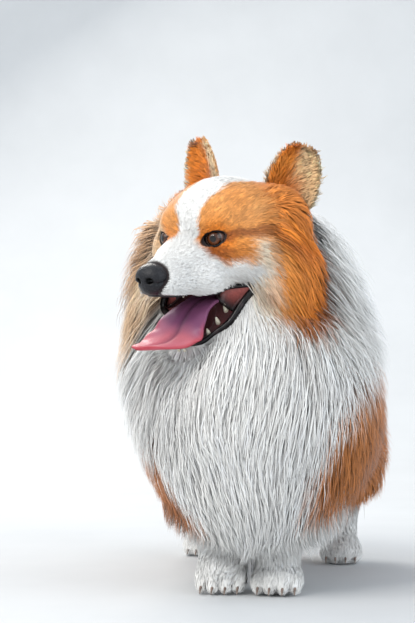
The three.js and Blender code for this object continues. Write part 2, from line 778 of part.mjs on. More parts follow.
for (const [name, paw] of Object.entries(hindpaws)) {
  field[`hindleg_${name}`] = fieldOf(hindlegForms(paw.side, paw.paw), 26);
  field[`hindpaw_${name}`] = fieldOf(hindpawForms(paw.side, paw.paw), 14);
  wraps[`hindleg_${name}`] = {
    distance: field[`hindleg_${name}`],
    line: [[paw.side * 84, paw.paw[1] + 6, 185], [paw.side * 86, paw.paw[1] + 10, 130],
      [paw.paw[0], paw.paw[1] + 42, 84]],
    caps: 0.25,
    rings: 10,
    sides: 12,
    upwards: [0, -1, 0],
  };
  wraps[`hindpaw_${name}`] = {
    distance: field[`hindpaw_${name}`],
    line: [
      [paw.paw[0], paw.paw[1] + 44, 74],
      [paw.paw[0], paw.paw[1] + 24, 26],
      [paw.paw[0], paw.paw[1] - 4, 15],
    ],
    caps: 0.2,
    rings: 8,
    sides: 10,
    upwards: [0, -1, 0],
  };
}

const core = {};
const grown = {};
for (const [name, wrap] of Object.entries(wraps)) {
  core[name] = wrapBody(wrap);
  grown[name] = wrapBody(wrap, GAP);
}

// The coat of each node: where it grows, how it lies, and how far its tips stand out
const COVER_BLEND = 10;
const overAll = (...names) => {
  const fields = names.map((name) => field[name]);
  return (p) => fields.reduce((d, one) => blendMin(d, one(p), COVER_BLEND), 1e4);
};
const awayFrom = (p, margin, ...names) => names.every((name) => field[name](p) > margin);
const overBody = overAll(
  'torso', 'neck', 'head', 'jaw', 'foreleg_left', 'foreleg_right', 'forepaw_left', 'forepaw_right');
const overRump = overAll('torso', 'tail', 'hindleg_left', 'hindleg_right', 'hindpaw_left', 'hindpaw_right');
const NECK_MIDDLE = [-4, 34];

const neckCoat = {
  own: field.neck,
  steps: LONG_LOCK,
  over: overBody,
  from: 0.2,
  to: 0.93,
  rows: 6,
  around: 13,
  sink: 14,
  thick: 11,
  lowest: 46,
  scatter: 0.45,
  length: () => 98,
  width: () => 24,
  lift: (p) => {
    const side = 30 + 15 * smooth(0.2, 0.8, Math.abs(slope(field.neck, p)[0]));
    return side * (1 - 0.5 * smooth(385, 440, p[2]));
  },
  lie: (p) => {
    const out = unit([p[0] - NECK_MIDDLE[0], p[1] - NECK_MIDDLE[1], 0]);
    const back = 0.95 * smooth(-0.9, 0.9, out[1]) - 0.06;
    return [out[0] * 0.12, back, -1 + 0.45 * Math.max(out[1], 0)];
  },
  grows: (p) => slope(field.neck, p)[1] > -0.6 && awayFrom(p, 4, 'head', 'torso')
    && field.jaw(p) > 6 && clearOfMouth(p, 8),
};

// The throat: tiers of locks under the jaw
const throatCoat = {
  ...neckCoat,
  middle: [-6, 40],
  tiers: [308, 274, 240],
  halfTurn: 72 * RADIANS,
  across: 5,
  width: () => 22,
  lift: () => 32,
  lie: (p) => [0.002 * p[0], 0, -1],
  grows: (p) => awayFrom(p, 3, 'head', 'torso') && field.jaw(p) > 4 && clearOfMouth(p, 6),
};

const torsoCoat = {
  own: field.torso,
  steps: SHORT_LOCK,
  over: overAll(
    'torso', 'neck', 'tail', 'foreleg_left', 'foreleg_right', 'forepaw_left', 'forepaw_right',
    'hindleg_left', 'hindleg_right'),
  from: 0.2,
  to: 0.94,
  rows: 6,
  around: 10,
  sink: 12,
  thick: 10,
  lowest: 44,
  scatter: 0.4,
  length: () => 88,
  width: () => 26,
  lift: (p) => 10 + 24 * (1 - smooth(0.1, 0.95, slope(field.torso, p)[2])),
  lie: (p) => {
    const front = smooth(70, -30, p[1]);
    const out = slope(field.torso, p);
    return [0.1 * Math.sign(p[0]), 1 - 1.1 * front, -0.25 - 0.75 * Math.max(front, 1 - Math.max(out[2], 0))];
  },
  grows: (p) => slope(field.torso, p)[2] > -0.8 && p[1] > 6
    && awayFrom(p, 7, 'neck', 'tail', 'foreleg_left', 'foreleg_right', 'hindleg_left', 'hindleg_right'),
};

// The bib: tiers of locks down the front of the chest
const bibCoat = {
  ...torsoCoat,
  steps: LONG_LOCK,
  middle: [0, 24],
  tiers: [204, 171, 138, 104],
  halfTurn: 74 * RADIANS,
  across: 6,
  lowest: 38,
  length: () => 92,
  width: () => 22,
  lift: () => 27,
  lie: (p) => [-0.0016 * p[0], 0.02, -1],
  grows: (p) => awayFrom(p, 2, 'neck', 'foreleg_left', 'foreleg_right'),
};

const thighCoat = (side) => {
  const own = field[side > 0 ? 'hindleg_left' : 'hindleg_right'];
  return {
    own,
    steps: SHORT_LOCK,
    over: overRump,
    from: 0.1,
    to: 0.8,
    rows: 5,
    around: 6,
    sink: 10,
    thick: 9,
    lowest: 40,
    scatter: 0.4,
    length: (p) => 70 + 16 * smooth(120, 200, p[2]),
    width: () => 23,
    lift: (p) => 12 + 20 * smooth(80, 150, p[2]),
    lie: (p) => [0.08 * side, 0.62, -1 + 0.2 * smooth(150, 230, p[2])],
    grows: (p) => {
      const out = slope(own, p);
      return p[2] > 84 && out[0] * side > -0.25 && awayFrom(p, 5, 'torso', 'tail');
    },
  };
};

const tailCoat = {
  own: field.tail,
  steps: SHORT_LOCK,
  over: overRump,
  from: 0.6,
  to: 0.9,
  rows: 1,
  around: 5,
  sink: 8,
  thick: 8,
  lowest: 60,
  scatter: 0.3,
  length: () => 40,
  width: () => 14,
  lift: () => 11,
  lie: () => [0, 0.7, -0.8],
  grows: (p) => awayFrom(p, 1, 'torso', 'hindleg_left', 'hindleg_right'),
};

// The head turns to the dog's right, which bunches the ruff on that side
const RIGHT_CHEEK_BUNCH = 26;

const headCoat = {
  own: field.head,
  steps: SHORT_LOCK,
  over: overAll('head', 'neck', 'jaw'),
  from: 0.58,
  to: 0.96,
  rows: 5,
  around: 13,
  sink: 10,
  thick: 9,
  lowest: 60,
  scatter: 0.4,
  length: (p) => 54 + 22 * smooth(-10, -60, toHead(p)[2]),
  width: () => 17,
  lift: (p) => {
    const [x, , z] = toHead(p);
    return 10 + 9 * smooth(40, -20, z) + RIGHT_CHEEK_BUNCH * smooth(-30, -60, x);
  },
  lie: (p) => {
    const q = toHead(p);
    return turnHead([0.1 * Math.sign(q[0]), 0.5, -1 + 0.5 * smooth(10, 50, q[2])]);
  },
  grows: (p) => {
    const [x, y, z] = toHead(p);
    return Math.abs(x) > 46 && y > 42 && z > -100 && z < 42;
  },
};

// Whether a point lies clear of the mouth's opening, by a margin
function clearOfMouth(p, margin) {
  const [x, y, z] = toHead(p);
  const i = clamp(MOUTH_FLOOR.findIndex(([along]) => along < y), 1, MOUTH_FLOOR.length - 1);
  const [near, far] = [MOUTH_FLOOR[i - 1], MOUTH_FLOOR[i]];
  const lip = near[1] + ((near[0] - y) / (near[0] - far[0])) * (far[1] - near[1]);
  const beside = Math.abs(x) > MOUTH_HALF_WIDTH;
  return beside || y > MOUTH_CORNER[1] + margin || z > MOUTH_CORNER[2] + margin || z < lip - margin;
}

const coats = {
  neck: [...rowsOfLocks(wraps.neck, neckCoat, 11), ...tiersOfLocks(throatCoat, 17)],
  torso: [...rowsOfLocks(wraps.torso, torsoCoat, 23), ...tiersOfLocks(bibCoat, 29)],
  hindleg_left: rowsOfLocks(wraps.hindleg_left, thighCoat(1), 31),
  hindleg_right: rowsOfLocks(wraps.hindleg_right, thighCoat(-1), 37),
  tail: rowsOfLocks(wraps.tail, tailCoat, 41),
  head: rowsOfLocks(headWrap, headCoat, 53),
};
const locksOf = (name, grow) => (coats[name] ?? []).map((lock) => lockSolid(lock, grow));
const roomFor = (name) => joined([grown[name], ...locksOf(name, GAP)]);

const cutBy = (solid, ...cutters) => cutters.reduce((rest, cutter) => rest.subtract(cutter), solid);

// Solids of the head
const headCore = wrapBody(headWrap);
grown.head = wrapBody(headWrap, GAP);
grown.jaw = wrapBody(jawWrap, GAP);
grown.nose = wrapBody(noseWrap, GAP);
grown.tongue = tongueSolid(GAP);
const nostrils = joined(pair((s) => headEllipsoid([s * 7.5, -90, -35], [3.4, 8, 2.8], 8, 6)));

const upperLip = lipLine(UPPER_LIP, field.head, 1.5, 2.2);
const lowerLip = lipLine(LOWER_LIP, field.jaw, -2, 2);
const lipsAlong = (line, radius) => [ridgeAlong(line, radius), ridgeAlong(line.map(mirrorInHead), radius)];
const upperLips = lipsAlong(upperLip, LIP_RADIUS);
const lowerLips = lipsAlong(lowerLip, LIP_RADIUS);
const longer = (line) => [
  add(line[0], unit(sub(line[0], line[1]))), ...line.slice(1, -1),
  add(line.at(-1), unit(sub(line.at(-1), line.at(-2))))];
const upperLipsGrown = lipsAlong(longer(upperLip), LIP_RADIUS + 2 * GAP);
const lowerLipsGrown = lipsAlong(longer(lowerLip), LIP_RADIUS + 2 * GAP);
const upperTeeth = teethAlong(UPPER_TEETH.line, UPPER_TEETH.heights, UPPER_TEETH.radii, [0, 0, -1]);
const lowerTeeth = teethAlong(LOWER_TEETH.line, LOWER_TEETH.heights, LOWER_TEETH.radii, [0, -0.5, 0.86]);

const ears = Object.fromEntries(EARS.map((ear) => [ear.side > 0 ? 'left' : 'right', ear]));
const eyesGrown = pair((s) => eyeSolid(s, EYEBALL_RADIUS + GAP));
const mouthRoom = joined([grown.jaw, ...lowerLipsGrown, grown.tongue]);
const room = Object.fromEntries(
  ['head', 'neck', 'torso', 'tail', 'hindleg_left', 'hindleg_right'].map((name) => [name, roomFor(name)]));

const solids = {};
solids.tongue = tongueSolid(0);
solids.nose = wrapBody(noseWrap).subtract(nostrils);
solids.eye_left = eyeSolid(1, EYEBALL_RADIUS);
solids.eye_right = eyeSolid(-1, EYEBALL_RADIUS);
solids.head = cutBy(
  joined([
    cutBy(headCore, mouthCut, palateCut), ...locksOf('head', 0),
    ...upperTeeth, ...upperLips, ...pair(lidSolid),
  ]),
  mouthRoom, grown.nose, ...eyesGrown);
solids.lower_jaw = cutBy(
  joined([cutBy(wrapBody(jawWrap), mouthCut, jawFloorCut), ...lowerTeeth, ...lowerLips]), grown.tongue);
for (const [name, ear] of Object.entries(ears)) {
  solids[`ear_${name}`] = cutBy(earSolid(ear), room.head, room.neck);
}
solids.neck = cutBy(
  joined([core.neck, ...locksOf('neck', 0)]),
  room.head, ...upperLipsGrown, mouthRoom, mouthCut, solids.head);
solids.tail = joined([core.tail, ...locksOf('tail', 0)]);
for (const name of ['left', 'right']) {
  const forePaw = forepaws[name];
  const hindPaw = hindpaws[name];
  solids[`foreleg_${name}`] = cutBy(core[`foreleg_${name}`], room.neck, grown[`forepaw_${name}`]);
  solids[`forepaw_${name}`] = onFloor(
    joined([core[`forepaw_${name}`], ...toesOf(forePaw.paw, forePaw.heel, 1)]));
  solids[`hindleg_${name}`] = cutBy(
    joined([core[`hindleg_${name}`], ...locksOf(`hindleg_${name}`, 0)]),
    room.tail, grown[`hindpaw_${name}`]);
  solids[`hindpaw_${name}`] = onFloor(joined([core[`hindpaw_${name}`], ...toesOf(hindPaw.paw, 0, 0.92)]));
}
solids.torso = cutBy(
  joined([core.torso, ...locksOf('torso', 0)]), room.neck, room.tail, room.hindleg_left, room.hindleg_right,
  grown.foreleg_left, grown.foreleg_right, grown.forepaw_left, grown.forepaw_right,
  solids.neck, solids.hindleg_left, solids.hindleg_right);

// Colours and finish of each node
const looks = {
  tongue: [PINK, 0.35],
  nose: [BLACK, 0.4],
  eye_left: [BLACK, 0.1],
  eye_right: [BLACK, 0.1],
  head: [RED_PALE, 0.8],
  lower_jaw: [WHITE, 0.8],
  ear_left: [RED, 0.8],
  ear_right: [RED, 0.8],
  neck: [WHITE, 0.85],
  torso: [RED, 0.85],
  tail: [RED, 0.85],
  hindleg_left: [RED_PALE, 0.85],
  hindleg_right: [RED_PALE, 0.85],
};

const dog = new THREE.Group();
for (const [name, solid] of Object.entries(solids)) {
  const [colour, roughness] = looks[name] ?? [WHITE, 0.85];
  const material = new THREE.MeshStandardMaterial({ color: colour, roughness, metalness: 0 });
  const mesh = new THREE.Mesh(geometryOf(largest(solid)), material);
  mesh.name = name;
  dog.add(mesh);
}

// The middle of the outer box, on the floor, becomes the origin
const box = new THREE.Box3().setFromObject(dog);
dog.position.set(-(box.min.x + box.max.x) / 2, -(box.min.y + box.max.y) / 2, -box.min.z);

export default dog;
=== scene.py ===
"""A long-coated Pembroke Welsh Corgi, life-size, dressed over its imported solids.

Shapes are worked out in millimetres in the dog's own frame: +X its left, +Y its rear, +Z up,
with the forepaws near x = 0, y = 0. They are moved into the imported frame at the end.
"""
import math

import bpy
import numpy as np
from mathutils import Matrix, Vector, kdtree


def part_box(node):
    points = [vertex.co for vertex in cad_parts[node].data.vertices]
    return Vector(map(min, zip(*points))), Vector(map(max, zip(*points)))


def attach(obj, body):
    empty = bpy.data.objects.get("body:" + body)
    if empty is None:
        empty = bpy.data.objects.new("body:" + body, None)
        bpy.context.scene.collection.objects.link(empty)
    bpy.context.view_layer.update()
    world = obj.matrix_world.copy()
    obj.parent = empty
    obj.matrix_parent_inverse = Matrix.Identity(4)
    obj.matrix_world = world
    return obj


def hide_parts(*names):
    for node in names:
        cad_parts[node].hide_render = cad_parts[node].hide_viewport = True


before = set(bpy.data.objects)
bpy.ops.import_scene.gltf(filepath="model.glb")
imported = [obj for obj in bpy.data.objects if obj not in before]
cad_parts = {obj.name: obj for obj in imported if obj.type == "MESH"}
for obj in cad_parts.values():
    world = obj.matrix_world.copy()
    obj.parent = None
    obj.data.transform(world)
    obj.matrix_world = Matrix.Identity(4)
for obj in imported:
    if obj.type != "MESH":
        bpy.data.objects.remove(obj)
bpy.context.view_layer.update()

# Driving dimensions of the body, in millimetres
BODY_BLEND = 34
HEAD_BLEND = 14
JOIN_BLEND = 18
EYES_AT = np.array([-54.2, -58, 382.6])
HEAD_YAW = math.radians(32)
HEAD_PITCH = math.radians(11)
HEAD_ROLL = math.radians(4)
EYEBALL_RADIUS = 11.5
EYE_SPACING = 61
EYE_SPLAY = math.radians(22)
NOSE_AT = [0, -73, -33]
MOUTH_CORNER = [42, 33, -51]
CHIN_AT = [0, -34, -113]
FOREPAW_LEFT = [31, -4, 0]
FOREPAW_RIGHT = [-31, 2, 0]
HINDPAW_LEFT = [90, 300, 0]
HINDPAW_RIGHT = [-97, 372, 0]
RIGHT_FOREPAW_HEEL = 16
TOE_OFFSETS = (-20, -7, 7, 20)
OUTER_TOE_BACK = 6
# Each paw's place, how far its heel is lifted, and how wide its toes spread
PAWS = (
    (FOREPAW_LEFT, 0, 1),
    (FOREPAW_RIGHT, RIGHT_FOREPAW_HEEL, 1),
    (HINDPAW_LEFT, 0, 0.92),
    (HINDPAW_RIGHT, 0, 0.92),
)
MOUTH_HALF_WIDTH = 62
MOUTH_FLOOR_LEAN = 0.86
EYE_SOCKET = EYEBALL_RADIUS + 1.6

# The skin and the coat, in millimetres
LONG_DEPTH = 9
SHORT_DEPTH = 1.3
FIELD_REACH = 72
PAW_TOP = 20
ROOT_DEPTH = 1.5
TUFT_THICKNESS = 0.4
TUFT_PROFILE = (0.65, 1.0, 0.86, 0.6)
SHORT_PROFILE = (0.8, 0.85)
LONG_STEPS = (0.22, 0.5, 0.78, 1.0)
MIDDLE_STEPS = (0.3, 0.65, 1.0)
SHORT_STEPS = (0.5, 1.0)
# Each tuft is painted darker at its root and slightly lighter at its tip: painted shade among the roots,
# painted light on the tips
ROOT_PAINTED_SHADE = 0.93
TIP_PAINTED_LIGHT = 1.02
FULLNESS = 1.0
MOST_TRIANGLES = 190000
# The width of a tuft's patch on the coat's map
PATCH = 0.003
ROUGHNESS_SWING = 0.08
TINY = 1e-9

# The photograph's frame and the camera that fits it
PHOTO_HEIGHT = 623
FOCAL_PIXELS = 1456
SENSOR = 36
CAMERA_HEIGHT = 215
CAMERA_DISTANCE = 1600
CAMERA_ASIDE = 46
CAMERA_YAW = math.radians(7)
CAMERA_PITCH = math.atan(83.5 / FOCAL_PIXELS)


# Colours as linear light
def linear(red, green, blue):
    return np.array([(c / 255) ** 2.2 for c in (red, green, blue)])


WHITE = linear(246, 244, 240)
CREAM = linear(244, 218, 178)
PEACH = linear(240, 184, 122)
ORANGE = linear(230, 138, 54)
VIVID = linear(236, 124, 24)
RUST = linear(170, 86, 36)
BROWN = linear(160, 98, 60)
DARK_SKIN = linear(44, 34, 34)
MOUTH_DARK = linear(40, 24, 25)
MOUTH_PINK = linear(176, 84, 84)
WEB_PINK = linear(214, 116, 108)
LIP_DARK = linear(20, 15, 16)
LIP_LIGHT = linear(48, 34, 36)
RIM_DARK = linear(22, 17, 18)
IRIS = linear(98, 56, 33)
IRIS_RING = linear(14, 10, 10)
PUPIL = linear(8, 7, 8)
EYE_WHITE = linear(120, 92, 84)
# The tongue's pink in painted shade, for its back inside the mouth
TONGUE_SHADED_PURPLE = linear(132, 78, 112)
TONGUE_PINK = linear(194, 108, 120)
TONGUE_RED = linear(182, 64, 76)
NOSE_GREY = linear(40, 40, 44)
NOSTRIL_PAINTED_SHADE = linear(9, 8, 9)
WARM_LIGHT = (1.0, 0.96, 0.9)


def turn_about(axis, angle):
    c, s = math.cos(angle), math.sin(angle)
    if axis == "x":
        return np.array([[1, 0, 0], [0, c, -s], [0, s, c]])
    if axis == "y":
        return np.array([[c, 0, s], [0, 1, 0], [-s, 0, c]])
    return np.array([[c, -s, 0], [s, c, 0], [0, 0, 1]])


HEAD_TURN = turn_about("z", -HEAD_YAW) @ turn_about("x", HEAD_PITCH) @ turn_about("y", HEAD_ROLL)


def from_head(p):
    return EYES_AT + np.asarray(p, float) @ HEAD_TURN.T


def to_head(p):
    return (np.asarray(p) - EYES_AT) @ HEAD_TURN


def turn_head(v):
    return np.asarray(v, float) @ HEAD_TURN.T


def eye_centre(side):
    return from_head([side * EYE_SPACING / 2, 0, 0])


def frame_shift():
    low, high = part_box("eye_left")
    return np.array((low + high) / 2) * 1000 - eye_centre(1)


SHIFT = frame_shift()


# Small helpers on arrays of points
def unit(v):
    return v / np.maximum(np.linalg.norm(v, axis=-1, keepdims=True), TINY)


def smooth(low, high, x):
    t = np.clip((x - low) / (high - low), 0, 1)
    return t * t * (3 - 2 * t)


def mix(a, b, t):
    return a + (b - a) * np.asarray(t)[..., None]


def dot(a, b):
    return (a * b).sum(-1, keepdims=True)


def stack(x, y, z):
    return np.stack(np.broadcast_arrays(x, y, z), axis=-1).astype(float)


def wobble(p, size, seed):
    """A cheap smooth noise from crossed waves, from -1 to 1."""
    q = np.asarray(p) / size + seed
    a = np.sin(q[..., 0] * 1.7 + 2.1 * np.sin(q[..., 1] * 1.3 + seed))
    b = np.sin(q[..., 1] * 1.9 + 1.7 * np.sin(q[..., 2] * 1.1 + 2 * seed))
    c = np.sin(q[..., 2] * 1.5 + 1.9 * np.sin(q[..., 0] * 1.2 + 3 * seed))
    return (a + b + c) / 3


def stir(p, size):
    """Small shifts that keep the edge of a marking from being a clean line."""
    return np.stack([wobble(p, size, seed) for seed in (1.0, 2.0, 3.0)], axis=-1)


# Rounded forms: a ball has a centre and three radii, a bone runs between two balls
def ball(at, radii):
    return {"at": np.array(at, float), "radii": np.array(radii, float)}


def bone(start, start_radius, end, end_radius):
    return {"start": np.array(start, float), "end": np.array(end, float),
            "radii": np.array([start_radius, end_radius], float)}


def form_distance(form, p):
    if "at" in form:
        q = p - form["at"]
        k0 = np.linalg.norm(q / form["radii"], axis=-1)
        k1 = np.linalg.norm(q / form["radii"] ** 2, axis=-1)
        return k0 * (k0 - 1) / np.maximum(k1, TINY)
    axis = form["end"] - form["start"]
    t = np.clip((p - form["start"]) @ axis / (axis @ axis), 0, 1)
    radius = form["radii"][0] + (form["radii"][1] - form["radii"][0]) * t
    return np.linalg.norm(p - form["start"] - t[..., None] * axis, axis=-1) - radius


def form_box(form):
    if "at" in form:
        return form["at"] - form["radii"], form["at"] + form["radii"]
    reach = form["radii"].max()
    ends = np.array([form["start"], form["end"]])
    return ends.min(0) - reach, ends.max(0) + reach


def blend_min(a, b, k):
    h = np.maximum(k - np.abs(a - b), 0) / k
    return np.minimum(a, b) - h * h * k / 4


def blend_max(a, b, k):
    return -blend_min(-a, -b, k)


class Body:
    """A blended group of forms, in the dog's frame or in the head's own."""

    def __init__(self, forms, blend, in_head=False):
        self.forms = forms
        self.blend = blend
        self.in_head = in_head
        boxes = [form_box(form) for form in forms]
        low = np.min([b[0] for b in boxes], axis=0)
        high = np.max([b[1] for b in boxes], axis=0)
        if in_head:
            corners = np.array([[x, y, z] for x in (low[0], high[0])
                                for y in (low[1], high[1]) for z in (low[2], high[2])])
            corners = from_head(corners)
            low, high = corners.min(0), corners.max(0)
        self.box = (low, high)

    def __call__(self, p):
        q = to_head(p) if self.in_head else p
        result = form_distance(self.forms[0], q)
        for form in self.forms[1:]:
            result = blend_min(result, form_distance(form, q), self.blend)
        return result


def pair(make):
    return [make(1), make(-1)]


TORSO_FORMS = [
    ball([0, 120, 193], [110, 165, 103]),
    ball([0, 15, 200], [106, 84, 104]),
    ball([0, 250, 200], [98, 125, 94]),
    ball([0, 325, 205], [100, 92, 92]),
    ball([0, -8, 150], [74, 62, 78]),
]
NECK_FORMS = [
    bone([0, 44, 245], 104, [-8, 38, 360], 83),
    ball([0, 0, 232], [80, 74, 62]),
    ball([-40, 46, 312], [72, 60, 70]),
]
TAIL_FORMS = [bone([0, 398, 236], 22, [0, 420, 226], 19)]
HEAD_FORMS = [
    ball([0, 52, 12], [60, 64, 47]),
    ball([0, 22, 18], [43, 38, 26]),
    *pair(lambda s: ball([s * 24, 5, 13], [18, 16, 13])),
    *pair(lambda s: ball([s * 14, -18, -19], [15, 22, 14])),
    *pair(lambda s: ball([s * 40, 32, -15], [30, 40, 31])),
    bone([0, -4, -22], 28, [0, -58, -33], 19),
    *pair(lambda s: ball([s * 11, -46, -44], [14, 30, 15])),
    *pair(lambda s: ball([s * 25, -8, -42], [16, 28, 20])),
    *pair(lambda s: ball([s * 50, 80, 14], [36, 34, 34])),
    *pair(lambda s: ball([s * 54, 62, -46], [38, 36, 56])),
    ball([0, 60, -40], [56, 46, 56]),
]
JAW_FORMS = [
    bone([0, 40, -86], 34, [0, -16, -116], 19),
    *pair(lambda s: bone([s * 26, 24, -78], 17, [s * 13, -18, -113], 13)),
]
NOSE_FORMS = [
    ball(NOSE_AT, [18, 15, 14.5]),
    ball([0, -70, -43], [12, 13, 9]),
]


def foreleg_forms(side, paw):
    return [
        bone([side * 60, 42, 150], 40, [side * 40, 16, 84], 27),
        bone([side * 40, 16, 84], 27, [paw[0], paw[1] + 8, 44], 23),
    ]


def forepaw_forms(paw, heel):
    return [
        ball([paw[0], paw[1], 17 + heel * 0.7], [26, 28, 18 + heel * 0.1]),
        bone([paw[0], paw[1] + 12, 24 + heel * 0.8], 20, [paw[0], paw[1] + 10, 44 + heel * 0.4], 21),
    ]


def hindleg_forms(side, paw):
    return [
        ball([side * 84, paw[1] + 6, 168], [36, 74, 78]),
        bone([side * 86, paw[1] + 10, 130], 36, [paw[0], paw[1] + 46, 78], 22),
    ]


def hindpaw_forms(paw):
    return [
        bone([paw[0], paw[1] + 44, 74], 19, [paw[0], paw[1] + 22, 24], 20),
        ball([paw[0], paw[1] + 2, 14], [26, 34, 20]),
    ]


def toe_places(paw, spread):
    """How far each toe lies from the paw's middle, and its place."""
    for i, offset in enumerate(TOE_OFFSETS):
        aside = offset * spread
        yield aside, paw[0] + aside, paw[1] + (OUTER_TOE_BACK if i in (0, 3) else 0)


def toe_forms(paw, heel, spread):
    forms = []
    for aside, x, y in toe_places(paw, spread):
        knuckle = [x, y - 16, 14 + heel * 0.2]
        forms.append(bone([paw[0] + aside * 0.8, y + 4, 20 + heel * 0.6], 9.5, knuckle, 8.6))
        forms.append(bone(knuckle, 8.6, [x, y - 25, 8.2 - heel * 0.05], 6.8))
    return forms


HEAD = Body(HEAD_FORMS, HEAD_BLEND, in_head=True)
JAW = Body(JAW_FORMS, HEAD_BLEND, in_head=True)
NOSE = Body(NOSE_FORMS, 6, in_head=True)
TORSO = Body(TORSO_FORMS, BODY_BLEND)
NECK = Body(NECK_FORMS, BODY_BLEND)
TAIL = Body(TAIL_FORMS, BODY_BLEND)
FORELEGS = [Body(foreleg_forms(1, FOREPAW_LEFT), 16), Body(foreleg_forms(-1, FOREPAW_RIGHT), 16)]
FOREPAWS = [
    Body(forepaw_forms(FOREPAW_LEFT, 0), 12),
    Body(forepaw_forms(FOREPAW_RIGHT, RIGHT_FOREPAW_HEEL), 12),
]
HINDLEGS = [Body(hindleg_forms(1, HINDPAW_LEFT), 26), Body(hindleg_forms(-1, HINDPAW_RIGHT), 26)]
HINDPAWS = [Body(hindpaw_forms(HINDPAW_LEFT), 14), Body(hindpaw_forms(HINDPAW_RIGHT), 14)]
TOES = [Body(toe_forms(*paw), 2.5) for paw in PAWS]
# The bodies in the order in which they join, each group with its own blend
BODY_GROUPS = (
    ([TORSO, NECK, TAIL, *HINDLEGS], JOIN_BLEND),
    ([HEAD, JAW], 9),
    ([*FORELEGS, *FOREPAWS, *HINDPAWS], 10),
    (TOES, 5),
)

# The gap between the lips, seen from the side in the head's frame: (y, z) pairs
UPPER_LIP = [[20, -53.5], [0, -57], [-26, -59], [-50, -56.5], [-72, -52]]
LOWER_LIP = [[22, -70], [4, -92], [-18, -108.5]]
MOUTH_PROFILE = [
    [MOUTH_CORNER[1], MOUTH_CORNER[2]],
    *UPPER_LIP,
    [-120, -46],
    [-120, -150],
    [CHIN_AT[1] - 4, CHIN_AT[2] - 1],
    *reversed(LOWER_LIP),
]


def polygon_distance(profile, u, v):
    """Signed distance in a plane to a closed outline, negative inside it."""
    points = np.array(profile, float)
    best = np.full(u.shape, 1e9)
    inside = np.zeros(u.shape, bool)
    for (ay, az), (by, bz) in zip(points, np.roll(points, -1, axis=0)):
        ey, ez = by - ay, bz - az
        t = np.clip(((u - ay) * ey + (v - az) * ez) / (ey * ey + ez * ez), 0, 1)
        best = np.minimum(best, np.hypot(u - ay - t * ey, v - az - t * ez))
        crosses = (az > v) != (bz > v)
        with np.errstate(divide="ignore", invalid="ignore"):
            at = ay + (v - az) / (bz - az if bz != az else TINY) * ey
        inside ^= crosses & (u < at)
    return np.where(inside, -best, best)


def mouth_field(p):
    """Negative in the opening between the lips and in the hollows of palate and jaw."""
    q = to_head(p)
    gap = polygon_distance(MOUTH_PROFILE, q[..., 1], q[..., 2])
    gap = np.maximum(gap, np.abs(q[..., 0]) - MOUTH_HALF_WIDTH)
    palate = form_distance(ball([0, -24, -57], [19, 44, 11]), q)
    r = (q - [0, 3, -94]) @ turn_about("x", MOUTH_FLOOR_LEAN)
    floor = form_distance(ball([0, 0, 0], [16, 28, 11]), r)
    return np.minimum(np.minimum(gap, palate), floor)


MOUTH_BOX = (from_head([0, -20, -75]) - 95, from_head([0, -20, -75]) + 95)


def in_box(p, box, margin):
    return ((p > box[0] - margin) & (p < box[1] + margin)).all(-1)


def core_field(p):
    """The body under the outer half of the coat, with no mouth or eye openings."""
    result = np.full(p.shape[:-1], 1e3)
    flat = p.reshape(-1, 3)
    out = result.reshape(-1)
    for bodies, blend in BODY_GROUPS:
        for body in bodies:
            near = in_box(flat, body.box, FIELD_REACH)
            out[near] = blend_min(out[near], body(flat[near]), blend)
    return result


def skin_depth(p):
    """How far the skin lies under the core: deep below long coat, shallow on face and feet."""
    h = to_head(p)
    face = smooth(62, 30, h[..., 1]) * smooth(-150, -125, h[..., 2]) * smooth(96, 80, np.abs(h[..., 0]))
    near_head = smooth(60, 20, HEAD(p))
    low = smooth(110, 70, p[..., 2])
    short = np.maximum(face * near_head, low)
    return LONG_DEPTH - (LONG_DEPTH - SHORT_DEPTH) * short


def skin_field(p):
    result = core_field(p) + skin_depth(p)
    flat = p.reshape(-1, 3)
    out = result.reshape(-1)
    near = in_box(flat, MOUTH_BOX, 0)
    out[near] = blend_max(out[near], -mouth_field(flat[near]), 2.5)
    for side in (1, -1):
        centre = eye_centre(side)
        near = in_box(flat, (centre - 20, centre + 20), 0)
        socket = np.linalg.norm(flat[near] - centre, axis=-1) - EYE_SOCKET
        out[near] = blend_max(out[near], -socket, 1.2)
    return result


def slope(field, p, h=0.7):
    steps = np.array([[1, -1, -1], [-1, -1, 1], [-1, 1, -1], [1, 1, 1]], float)
    total = np.zeros(p.shape)
    for step in steps:
        total += step * field(p + h * step)[..., None]
    return unit(total)


# A mesh of a field's zero level, from one point in each cell that it crosses
def grid_values(field, xs, ys, zs, cover=None, reach=0.0):
    """The field on a grid, worked out in full only where a rough cover says that it is near."""
    values = np.empty((len(xs), len(ys), len(zs)))
    for i, x in enumerate(xs):
        layer = np.empty((len(ys), len(zs), 3))
        layer[..., 0] = x
        layer[..., 1] = ys[:, None]
        layer[..., 2] = zs[None, :]
        if cover is None:
            values[i] = field(layer)
            continue
        rough = cover.layer(x, ys, zs)
        near = np.abs(rough) < reach
        rough[near] = field(layer[near])
        values[i] = rough
    return values


